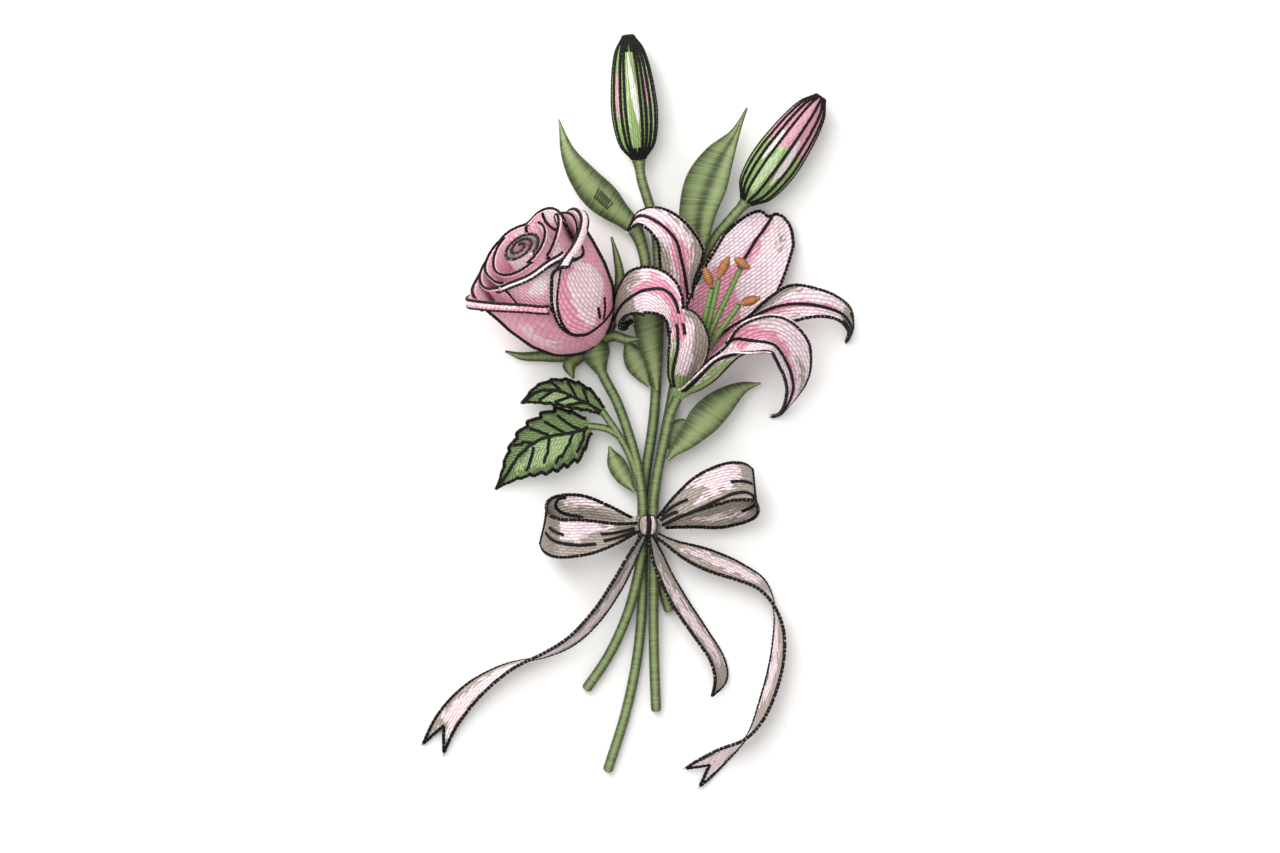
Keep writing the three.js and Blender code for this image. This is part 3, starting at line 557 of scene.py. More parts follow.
def sew(bm, form, path, side=0, wide=1.0, tall=None, samples=260):
    t = np.linspace(0, 1, samples)
    u = readAlong([p[0] for p in path], t)
    v = readAlong([p[1] for p in path], t)
    if side == 0:
        most = np.maximum(1 - stitching["inset"] / form.half(np.clip(v, 0, 1)), 0)
        u = np.clip(u, -most, most)
        v = np.clip(v, 0, 1 - stitching["inset"] / form.length)
    u, v = np.clip(u, -1, 1), np.clip(v, 0, 1)
    normals = normalsOf(form, u, v)
    thick = form.thick(u, v)
    line = form.at(u, v) + normals * (side * (thick / 2 + stitching["lift"]))[:, None]
    way = wayAlong(line)
    count = max(1, round(way[-1] / stitching["length"]))
    marks = np.linspace(0, way[-1], count + 1)
    points = readPoints(marks, way, line)
    faces = readPoints((marks[1:] + marks[:-1]) / 2, way, normals)
    width = stitching["strand"] * wide
    height = tall or (stitching["height"] if side else np.mean(thick) + stitching["wrap"])
    for k in range(count):
        run = points[k + 1] - points[k]
        long = np.linalg.norm(run) * stitching["overlap"]
        run = run / max(np.linalg.norm(run), 1e-9)
        across = unit(np.cross(faces[k], run))
        for strand in (-1, 1):
            askew = math.radians(random.uniform(-stitching["turn"], stitching["turn"]))
            ahead = run * math.cos(askew) + across * math.sin(askew)
            beside = across * math.cos(askew) - run * math.sin(askew)
            upward = np.cross(ahead, beside)
            shift = random.uniform(-stitching["shift"], stitching["shift"]) * long
            centre = (points[k] + points[k + 1]) / 2 + run * shift
            centre = centre + across * strand * stitching["apart"] * wide
            shape = np.outer(strandPlaces[:, 0] * width, beside)
            shape = shape + np.outer(strandPlaces[:, 1] * height, upward)
            placed = centre + shape + np.outer(strandPlaces[:, 2] * long, ahead)
            placed[:, 2] = np.maximum(placed[:, 2], stitching["lowest"])
            strandMesh.vertices.foreach_set("co", (placed * mm).astype(np.float32).ravel())
            bm.from_mesh(strandMesh)


def sewMargins(bm, form, starts=(0, 0), end=1):
    for edge, start in zip((-1, 1), starts):
        sew(bm, form, [(edge, start), (edge, (start + end) / 2), (edge, end)])


def sewEnd(bm, form, samples):
    # across the far end, from both margins to its middle line
    sew(bm, form, [(-1, 1), (-0.5, 1), (0, 1)], samples=samples)
    sew(bm, form, [(0, 1), (0.5, 1), (1, 1)], samples=samples)


def newOutline():
    bm = bmesh.new()
    bm.loops.layers.uv.new("thread")
    return bm


# rose
rose = {
    "base": (-32, 100.5, 10),  # where the petals leave the hip
    "tilt": 32,  # degrees that it looks up from the surface
    "heading": 126.4,
    "hipHeight": 3,
    "leanFrom": 0.35,  # of the way up, from where a petal leaves the cup for its own radii
    "leanPower": 2.2,
    "rollStart": 0.78,
    "rollTurn": 200,
    "sideRollStart": 0.7,
    "thickness": 1.1,
    "cupHeights": [0, 6, 14, 26, 40, 54, 80],
    "cupRadii": [6, 15, 22.5, 28.5, 31.5, 32, 28],
    "petalLength": 75,
    "petalRadius": 30,  # the mean distance from the axis
    "outer": 4,  # petals in rose_petal_thread, and the others are in the lighter one
}
tilt = math.radians(rose["tilt"])
heading = math.radians(rose["heading"])
roseHeading = np.array([math.cos(heading), math.sin(heading), 0])
roseAxis = roseHeading * math.cos(tilt) + np.array([0, 0, math.sin(tilt)])
roseRight = np.cross(roseHeading, [0, 0, 1])
roseFront = np.cross(roseRight, roseAxis)


def rosePoint(height, radius=0, azimuth=0):
    # height along the axis, radius and azimuth: azimuth 90 faces up
    a = np.radians(azimuth)
    outward = np.multiply.outer(radius * np.cos(a), roseRight)
    outward = outward + np.multiply.outer(radius * np.sin(a), roseFront)
    return np.array(rose["base"]) + np.multiply.outer(height, roseAxis) + outward


class RosePetal(Form):
    wall = rose["thickness"]
    length = rose["petalLength"]
    columns, rows = 44, 52
    inset, roll, sideRoll, slant = 0, 0.55, 0, 10
    edges = ["top", "left", "right"]

    def __init__(self, **look):
        super().__init__(**look)
        turn = math.radians(abs(np.mean(self.end) - np.mean(self.start)))
        self.halfWidth = turn * rose["petalRadius"] / 2

    def spread(self, share):
        # closer rows where the lip rolls over
        return np.interp(share, [0, 0.55, 1], [0, rose["rollStart"] - 0.02, 1])

    def at(self, u, v):
        rollStart, sideStart = rose["rollStart"], rose["sideRollStart"]
        rollTurn = math.radians(rose["rollTurn"])
        share = (u + 1) / 2
        rise = np.minimum(v, rollStart) / rollStart
        height = rose["hipHeight"] + (readAlong(self.heights, share) - rose["hipHeight"]) * rise
        azimuth = readAlong(self.start, v) * (1 - share) + readAlong(self.end, v) * share
        cup = np.maximum(np.interp(height, rose["cupHeights"], rose["cupRadii"]) - self.inset, 3)
        lean = np.maximum(0, (rise - rose["leanFrom"]) / (1 - rose["leanFrom"])) ** rose["leanPower"]
        radius = cup + (readAlong(self.radii, share) - cup) * lean
        turn = rollTurn * np.maximum(0, (v - rollStart) / (1 - rollStart))
        height = height + self.roll * np.sin(turn)
        radius = radius + self.roll * (1 - np.cos(turn))
        sideTurn = rollTurn * np.maximum(0, (u - sideStart) / (1 - sideStart)) * np.minimum(1, 3 * rise)
        azimuth = azimuth + np.degrees(self.sideRoll * np.sin(sideTurn) / radius)
        radius = radius + self.sideRoll * (1 - np.cos(sideTurn))
        return rosePoint(height, radius, azimuth)


# a petal's start and end are the azimuths of its margins from root to lip, and heights and radii those of
# its lip. Its bands are zone 0 pale, 1 deep and 2 light pink. edges names the margins that are sewn round:
# lip, crest or top of the rolled lip, left (the start azimuth) and right (the end)
rosePetals = [
    {"start": [-40, -62, -68, -58, -42], "end": [84, 92, 105, 100, 82, 68],
     "heights": [54, 64, 67, 68, 69, 70], "radii": [31, 36, 35, 32, 31, 31], "roll": 2.2, "sideRoll": 1.3,
     "slant": 6, "edges": ["crest", "left", "right"],
     "bands": [
         fill(0, (0.24, 0.69), [0.74, 0.66, 0.5, 0.44, 0.45, 0.49, 0.55],
              [0.02, 0.1, 0.24, 0.27, 0.27, 0.22, 0.14], firm=3),
         fill(0, (0.69, 1), [0.4, 0.44, 0.1, 0.1], [0.1, 0.26, 1.3, 1.3]),
         fill(0, (0.3, 0.8), [1], [0.02, 0.05, 0.08, 0.12, 0.2])],
     "lines": [
         seam(0, [(-1, 1), (-0.6, 1), (-0.2, 1), (0.1, 1)]),
         seam(0, [(0.74, 1), (0.87, 1), (1, 1)]),
         seam(-1, [(0.1, 0.97), (0.19, 0.8), (0.22, 0.7), (0.3, 0.69), (0.41, 0.71), (0.55, 0.74),
                   (0.7, 0.77)]),
         seam(0, [(0.97, 0.33), (0.94, 0.42), (0.92, 0.5), (0.9, 0.58), (0.86, 0.66), (0.8, 0.73),
                  (0.74, 0.78)]),
         seam(-1, [(0.98, 0.34), (0.93, 0.28), (0.8, 0.225), (0.61, 0.2), (0.44, 0.19), (0.2, 0.17),
                   (0.02, 0.16)]),
         seam(-1, [(0.5, 0.05), (0.16, 0.09), (-0.02, 0.15), (0, 0.24), (-0.1, 0.35), (-0.1, 0.45),
                   (-0.15, 0.55), (-0.19, 0.65), (-0.17, 0.74), (-0.12, 0.8)], tall=3.2),
         seam(-1, [(0.33, 0.34), (0.44, 0.28), (0.56, 0.22)]),
         seam(-1, [(0.5, 0.34), (0.55, 0.3), (0.6, 0.26)])]},
    {"start": [85, 94, 99, 101, 102], "end": [190, 212, 215, 208, 200], "heights": [52, 60, 66, 69, 66, 58],
     "radii": [30.5, 31, 33, 36, 38, 35], "inset": 1.3, "roll": 2.2, "slant": 14,
     "edges": ["lip", "crest", "left", "right"],
     "bands": [
         fill(0, (0.33, 0.58), [-0.55, -0.38, -0.34, -0.37, -0.42], [0.16, 0.07, 0.06, 0.05, 0.02], firm=2),
         fill(0, (0.87, 0.94), [0.1], [0.58], firm=2),
         fill(2, (0.24, 0.56), [-0.45, -0.28, -0.3], [0.1, 0.12, 0.08])],
     "lines": [
         seam(-1, [(-0.5, 0.04), (0.04, 0.09), (0.2, 0.15), (0.15, 0.24), (0.22, 0.35), (0.3, 0.45),
                   (0.31, 0.55), (0.4, 0.65), (0.42, 0.74)], tall=3.2)]},
    {"start": [150, 154, 158, 160, 160], "end": [235, 258, 266, 262, 255], "heights": [66, 67, 64, 62, 61],
     "radii": [35.5, 34, 31.5, 30.5, 29], "inset": 2.6, "roll": 1.8, "slant": 20,
     "edges": ["lip", "crest", "right"],
     "bands": [fill(0, (0.68, 0.87), [-0.55, -0.5, -0.34, -0.2], [0.22, 0.2, 0.12, 0.01], firm=3)]},
    {"start": [215, 208, 206, 214, 222], "end": [305, 328, 332, 326, 316], "heights": [58, 64, 60],
     "radii": [30, 32, 30], "inset": 1.3, "roll": 2, "slant": 20,
     "edges": ["lip", "crest", "left", "right"], "bands": [fill(0, (0.3, 0.68), [0], [0.1, 0.35, 0.3])]},
    {"start": [50, 48, 45, 46, 50], "end": [125, 140, 148, 152, 152], "heights": [68, 72, 72.5, 73, 71],
     "radii": [25, 24.5, 24.5, 25, 26], "inset": 5.6, "roll": 1.2, "slant": 20,
     "edges": ["lip", "crest", "left", "right"],
     "bands": [
         fill(0, (-0.8, 0.34), [0.77, 0.74, 0.71, 0.68, 0.66], [0.01, 0.03, 0.04, 0.045, 0.03], firm=2,
              along="u"),
         fill(0, (0.86, 0.99), [0.05], [0.95])],
     "lines": [seam(-1, [(0.8, 0.75), (0.8, 0.7), (0.78, 0.64)])]},
    {"start": [-20, -28, -26, -16, -6], "end": [50, 58, 62, 60, 57], "heights": [76, 74, 70],
     "radii": [27, 22, 17], "inset": 8, "bands": [fill(0, (0.58, 0.84), [0.5], [0.1, 0.22, 0.25])]},
    {"start": [-48, -52, -50, -40, -30], "end": [30, 36, 36, 30, 22], "heights": [68, 70, 68],
     "radii": [31, 33, 31], "inset": 3.9},
    {"start": [-80, -88, -84, -74, -66], "end": [0, 6, 5, 0, -6], "heights": [68, 72, 74, 72],
     "radii": [28, 30, 30, 28], "inset": 6, "bands": [fill(0, (0.7, 0.84), [0, 0.2], [0.1, 0.3])],
     "lines": [seam(1, [(-0.2, 0.8), (-0.2, 0.72), (0, 0.65), (0.12, 0.66)])]},
    {"start": [-140, -144, -142, -134, -128], "end": [-58, -52, -50, -54, -58], "heights": [65, 69, 67],
     "radii": [28, 29, 28], "inset": 6.4, "bands": [fill(2, (0.6, 0.8), [0.5], [0.1, 0.3])]},
    {"start": [125, 130, 136, 140, 142], "end": [205, 220, 232, 236, 232], "heights": [74, 70, 68, 66],
     "radii": [28.5, 28, 29, 30], "inset": 4.2, "edges": ["top", "right"]},
    {"start": [125, 130, 136, 142, 144], "end": [215, 245, 256, 258, 252], "heights": [72, 70, 69, 69],
     "radii": [23, 22, 26, 28], "inset": 8, "edges": ["top", "right"]},
    {"start": [-30, -40, -40, -30, -20], "end": [80, 100, 104, 100, 94], "heights": [77, 76, 74],
     "radii": [17, 15.5, 14.5], "inset": 14, "edges": ["top"],
     "bands": [fill(0, (0.55, 0.84), [-0.5], [0.1, 0.35, 0.2])]},
    {"start": [85, 80, 78, 84, 90], "end": [215, 250, 262, 262, 258], "heights": [73, 72, 72, 74],
     "radii": [15.5, 17, 18, 19], "inset": 12, "edges": ["top"]},
]
roseEdges = {
    "lip": seam(0, [(-1, 1), (0, 1), (1, 1)]),
    "crest": seam(1, [(-1, 0.88), (0, 0.88), (1, 0.88)], tall=1.5),
    "top": seam(1, [(-1, 0.89), (0, 0.89), (1, 0.89)], tall=1.8, wide=0.75),
    "left": seam(0, [(-1, 0.34), (-1, 0.6), (-1, 1)]),
    "right": seam(0, [(1, 0.34), (1, 0.6), (1, 1)]),
}


outline = newOutline()
for number, petal in enumerate(rosePetals, 1):
    form = RosePetal(**petal)
    thread = "rose_petal_thread" if number <= rose["outer"] else "rose_heart_painted_light_thread"
    addPiece(f"rose_petal_{number:02d}", form, thread, "rose_bloom")
    for line in [roseEdges[edge] for edge in form.edges] + form.lines:
        sew(outline, form, **line)

heart = {"turns": 2.5, "foot": 52, "tall": 24, "rise": 1.5, "radius": 2, "spread": 10, "azimuth": 80}


class RoseHeart(Form):
    # one petal rolled into a spiral, from its outer end at u -1
    wall = rose["thickness"]
    length = 60
    halfWidth = 45.0
    columns, rows = 120, 10
    bands = [fill(0, (-1, -0.2), [0.8], [0.3], along="u")]

    def at(self, u, v):
        share = (u + 1) / 2
        height = heart["foot"] + heart["tall"] * v + heart["rise"] * share
        radius = heart["radius"] + heart["spread"] * (1 - share)
        return rosePoint(height, radius, heart["azimuth"] - 360 * heart["turns"] * share)


form = RoseHeart()
addPiece("rose_heart", form, "rose_heart_painted_light_thread", "rose_bloom")
sew(outline, form, [(-1, 1), (-0.5, 1), (0, 1), (0.5, 1), (1, 1)], wide=0.55, samples=900)
sew(outline, form, [(-1, 0), (-1, 0.5), (-1, 1)], wide=0.55)

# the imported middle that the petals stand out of
core = {"spine": [rosePoint(0), rosePoint(36), rosePoint(66)], "bands": [fill(1, (0, 1), [0], [4])],
        "radii": [5.5, 13.5, 20.5, 25, 26.8, 26.5, 21, 10], "columns": 48, "rows": 36}
addPiece("rose_core", Tube(**core), "rose_petal_thread", "rose_bloom")
finishPiece("rose_outline", outline, "black_outline_thread", ["rose_bloom"])
print("rose petals are made")

# stems, sepals and stalks, in satin stitch straight across. Each shade list is painted shade across them:
# dark at the sides, where the rounded stitches turn from the light
stem = {"radii": [2.8], "roundEnd": 2, "columns": 16, "wound": 0.22, "slant": 90,
        "shade": [1, 1, 1, 0.85, 0.15, 0.85, 1, 1, 1]}
stalk = {**stem, "radii": [2], "roundEnd": 0}
roseHip = {**stem, "radii": [7, 8.2, 7.6, 5.2, 3.2], "roundEnd": 0, "columns": 24}
budStem = {**stem, "radii": [3.7] + [2.8] * 60}  # with a collar under the bud
satinBlade = {"stitchEdge": 0.5, "shade": [1, 0.75, 0.35, 0.1, 0.1, 0.4, 0.8, 1]}
hipSpine = [rosePoint(-0.3), rosePoint(-2), rosePoint(-5), (-28, 91.5, 7.4), (-25.6, 84, 8.2)]
roseStem = [(-29.5, 94.5, 7.2), (-25, 83, 8.4), (-17, 67.5, 9), (-11, 51, 9), (-6, 33, 9.5), (-3, 12, 9.8),
            (-3, 0, 9.8), (-3, -11, 9.8), (-5.5, -27.5, 9), (-11.5, -49.5, 7), (-21.5, -71.5, 5),
            (-34.5, -91, 3.4)]
stalks = [[(-25.4, 62.9, 14.2), (-16.5, 50, 12), (-10, 38, 10.5), (-5, 24, 9.8)],
          [(-32.8, 54.6, 10.6), (-23, 53, 11.5), (-16, 49.3, 12)]]
sepalLook = {**satinBlade, "cup": [0.25], "edge": 0.9, "middle": 2, "slant": 90}
sepals = [
    {"spine": [(-31, 95.5, 5.4), (-38, 93.8, 4.4), (-47, 93, 4.6), (-59.5, 93, 6), (-69.5, 93, 7.5),
               (-78.5, 95.5, 9)], "halfWidths": [3, 3, 3.2, 2.9, 2.2, 0.4], "normals": [(0, -0.5, 1)]},
    {"spine": [(-32.5, 95, 6.2), (-39, 92.5, 7), (-43, 88, 9), (-41, 80.5, 9)],
     "halfWidths": [2.6, 3.8, 3.6, 0.4], "normals": [(-0.3, -0.3, 1)]},
    {"spine": [(-29, 96, 7), (-24.6, 101.4, 10), (-19, 104, 14.5), (-11.5, 102, 16), (-4, 102.5, 17)],
     "halfWidths": [3, 2.7, 2.7, 2.3, 0.4], "normals": [(0, 0, 1)]},
    {"spine": [(-28.6, 96.6, 6.6), (-22, 107, 7.4), (-17, 121, 10.5), (-15.6, 137.5, 15),
               (-17.5, 148.5, 17), (-20, 158.5, 18)], "halfWidths": [3, 3, 2.9, 2.7, 1.9, 0.4],
     "normals": [(0.2, 0, 1)]},
]
bm = newWork()
for spine, look in [(hipSpine, roseHip), (roseStem, stem), (stalks[0], stalk), (stalks[1], stalk)]:
    addForm(bm, Tube(spine=spine, **look))
for sepal in sepals:
    addForm(bm, Blade(**sepal, **sepalLook))
finishPiece("rose_stem_and_sepals", bm, "olive_satin_thread", ["rose_stem"])

lilyStems = {
    "lily_stem": [(16.4, 70.4, 15.2), (12, 60.5, 13), (9, 47, 11), (5.5, 30.5, 10), (3, 13, 9.8),
                  (3, 0, 9.8), (3, -11, 9.8), (3.2, -27.5, 9.2), (3, -52.5, 7.2), (3.5, -77, 5),
                  (4.5, -103, 3.4)],
    "bud_top_stem": [(-5.1, 200.7, 12.6), (-3.5, 190, 11), (-0.5, 180, 9), (3.5, 166.5, 7.5),
                     (5.5, 146, 6.5), (6, 118.5, 6), (5, 88, 5.5), (3, 58, 4.6), (-1, 30.5, 4),
                     (-3, 13, 3.9), (-3, 0, 3.9), (-3, -10, 3.9), (-3, -27.5, 3.9), (-3.6, -50, 3.6),
                     (-6.5, -76, 3.4), (-12.5, -104, 3.4), (-22.5, -136, 3.4)],
    "bud_side_stem": [(53.8, 177.7, 12.8), (44, 166.5, 9.5), (37, 158, 6.5), (29.5, 144.5, 4.6),
                      (23, 124, 4), (18, 96.5, 3.8), (13, 69, 3.8), (7.5, 41, 3.9), (3.4, 14, 3.9),
                      (3, 0, 3.9), (3, -11, 3.9), (6, -27.5, 3.6), (12, -48, 3.4)],
}
for name, spine in lilyStems.items():
    form = Tube(spine=spine, **(stem if name == "lily_stem" else budStem))
    addPiece(name + "_thread", form, "olive_satin_thread", name)
print("stems are made")

# olive leaves, each in one row of satin. Their shade lists are painted shade, dark at the sides, and on
# leaf_upper_right also along the fold by its midrib
leafLook = {**satinBlade, "slant": 78}
leaves = {
    "leaf_upper_left": {"spine": [(1.4, 121, 6.2), (-0.6, 134, 6.4), (-2, 148, 6.8), (-7.5, 163, 8.5),
                                  (-20, 175, 12), (-33, 188, 15), (-43.5, 204, 16), (-49, 223, 12)],
                        "halfWidths": [1.2, 2.8, 3.2, 5.5, 9, 7.5, 3.6, 0.4], "normals": [(-0.1, -0.1, 1)],
                        "middle": 2.8, "shade": [1, 0.8, 0.4, 0.1, 0.1, 0.35, 0.8, 1]},
    "leaf_upper_right": {"spine": [(28.5, 143, 9), (26.5, 158, 9.8), (27.5, 172, 11), (32, 187, 12.5),
                                   (38.5, 201, 13.5), (47.5, 215, 13), (54.5, 229.5, 11)],
                         "halfWidths": [2, 7.5, 10.2, 11.4, 8.2, 2.6, 0.4], "normals": [(-0.1, 0, 1)],
                         "cup": [0.3], "shade": [0.9, 0.55, 0.35, 0.3, 0.6, 1, 0.6, 0.2, 0.3, 0.95]},
    "leaf_sheath": {"spine": [(5, 74, 9.8), (3.5, 88, 9.8), (1, 102, 10.2), (-0.5, 115.5, 10.8),
                              (-3, 129, 11.4), (-4.5, 139, 11.4)],
                    "halfWidths": [1.4, 4.2, 6.6, 8, 5.5, 0.4]},
    "leaf_middle": {"spine": [(0.7, 76.4, 5.8), (-3, 83, 6.6), (-6.5, 90, 7), (-10, 97, 7.2),
                              (-12.5, 101.5, 6.6)], "halfWidths": [1, 4.4, 6.4, 5, 0.8],
                    "normals": [(-0.1, 0, 1)]},
    "leaf_lower_right": {"spine": [(10.9, 36, 10.8), (14.5, 40.5, 11.8), (21, 46.5, 13), (32.7, 60, 14),
                                   (43.7, 70, 12.5), (52, 75.5, 10), (62, 78, 6.5)],
                         "halfWidths": [1.2, 3.8, 6.6, 8.8, 8.4, 6.2, 3, 0.4],
                         "shade": [1, 0.8, 0.45, 0.1, 0.1, 0.5, 1]},
    "leaf_lower_right_small": {"spine": [(12.4, 41.6, 6.6), (14.5, 50, 8.2), (18.5, 54.5, 8.4),
                                         (24, 57.5, 8)], "halfWidths": [1.2, 4.4, 4.6, 0.8],
                               "shade": [1, 0.6, 0.35, 0.4, 0.6, 0.8, 1]},
    "leaf_lower_left": {"spine": [(-7.4, 18.4, 9.4), (-12.8, 26, 9), (-17.5, 34, 9), (-21.5, 43.5, 8)],
                        "halfWidths": [1, 4.6, 4.8, 0.5], "shade": [1, 0.7, 0.2, 0.1, 0.45, 0.8, 1]},
}
# a small patch of darker stitches, sewn to and fro
darned = {"leaf": "leaf_upper_left", "stitches": 12, "from": 0.525, "step": 0.007, "rise": 0.016,
          "half": 0.3, "zones": (0.2, -farInside, -farInside, 1), "wide": 0.58, "tall": 0.5}
for name, leaf in leaves.items():
    form = Blade(**{**leafLook, **leaf})
    addPiece(name + "_thread", form, "olive_satin_thread", name)
    if name == darned["leaf"]:
        darning = newWork()
        for k in range(darned["stitches"]):
            v = darned["from"] + darned["step"] * k
            path = [(-darned["half"], v), (darned["half"], v + darned["rise"] * (k % 2))]
            sew(darning, form, path, side=1, wide=darned["wide"], tall=darned["tall"], samples=20)
        zoneLayer = darning.verts.layers.float_color["zones"]
        for vert in darning.verts:
            vert[zoneLayer] = darned["zones"]
        finishPiece(name + "_darning", darning, "olive_satin_thread", [name])
print("leaves are made")

# rose leaflets. Their bands are zone 0 light and 1 dark green
leafletLook = {"cup": [0.18], "toothDepth": 0.16, "edge": 0.9, "middle": 1.8, "slant": 35, "chevron": True,
               "columns": 24}
rowsPerTooth = 12
toothLine = (0.02, 0.97)  # from where to where the margin of a tooth is sewn
toothStep = (0.97, 1.03)  # and the step to the next one
leaflets = {
    "rose_leaflet_upper": {"spine": [(-25.3, 62.8, 14.3), (-34.5, 69, 16), (-47.5, 73, 17), (-59, 72, 15),
                                     (-70, 67, 11)], "halfWidths": [3, 7.5, 8.5, 6, 0.6], "teeth": 8,
                           "bands": [
                               fill(0, (0.25, 0.8), [-0.4], [0.2, 0.45, 0.3]),
                               fill(1, (0, 1), [0.95], [0.3])],
                           "rib": [(-0.25, 0.0), (-0.2, 0.3), (0.1, 0.55), (0.4, 0.8), (0.1, 0.97)],
                           "veins": [[(-0.2, 0.18), (0.75, 0.3)], [(-0.2, 0.32), (0.8, 0.46)],
                                     [(0, 0.5), (0.85, 0.62)], [(-0.2, 0.2), (-0.85, 0.4)],
                                     [(-0.15, 0.38), (-0.8, 0.58)], [(0.1, 0.6), (-0.6, 0.78)]]},
    "rose_leaflet_lower": {"spine": [(-32.6, 54.6, 10.6), (-43, 50.5, 12.5), (-55, 45, 13.5),
                                     (-69, 35.5, 11), (-84, 19.5, 5)],
                           "halfWidths": [5.5, 16, 17.6, 16, 11, 5, 0.6], "teeth": 9,
                           "bands": [
                               fill(0, (0.15, 0.75), [-0.2], [0.15, 0.4, 0.4, 0.2]),
                               fill(1, (0, 1), [-1], [0.22]),
                               fill(1, (0, 1), [1], [0.16])],
                           "rib": [(-0.15, 0.0), (0.05, 0.22), (0.25, 0.42), (0.3, 0.66), (0.1, 0.97)],
                           "veins": [[(-0.05, 0.08), (0.7, 0.22)], [(0.1, 0.22), (0.67, 0.33)],
                                     [(0.22, 0.34), (0.78, 0.45)], [(0.25, 0.47), (0.83, 0.62)],
                                     [(-0.2, 0.05), (-0.6, 0.1), (-0.72, 0.19)],
                                     [(-0.03, 0.15), (-0.45, 0.26), (-0.73, 0.41)],
                                     [(0.15, 0.35), (-0.25, 0.42), (-0.57, 0.5)],
                                     [(0.17, 0.5), (-0.2, 0.58), (-0.57, 0.68)]]},
}
for name, leaf in leaflets.items():
    teeth = leaf["teeth"]
    form = Blade(**leaf, **leafletLook, rows=teeth * rowsPerTooth)
    addPiece(name + "_blade", form, "leaflet_thread", name)
    outline = newOutline()
    for edge in (-1, 1):
        for k in range(teeth):
            sew(outline, form, [(edge, (k + place) / teeth) for place in toothLine], samples=12)
            if k < teeth - 1:
                sew(outline, form, [(edge, (k + place) / teeth) for place in toothStep], samples=4)
    sew(outline, form, form.rib, side=1)
    for vein in form.veins:
        sew(outline, form, vein, side=1, wide=0.9, samples=60)
    sew(outline, form, form.rib, side=-1)
    finishPiece(name + "_veins", outline, "black_outline_thread", [name])
print("leaflets are made")

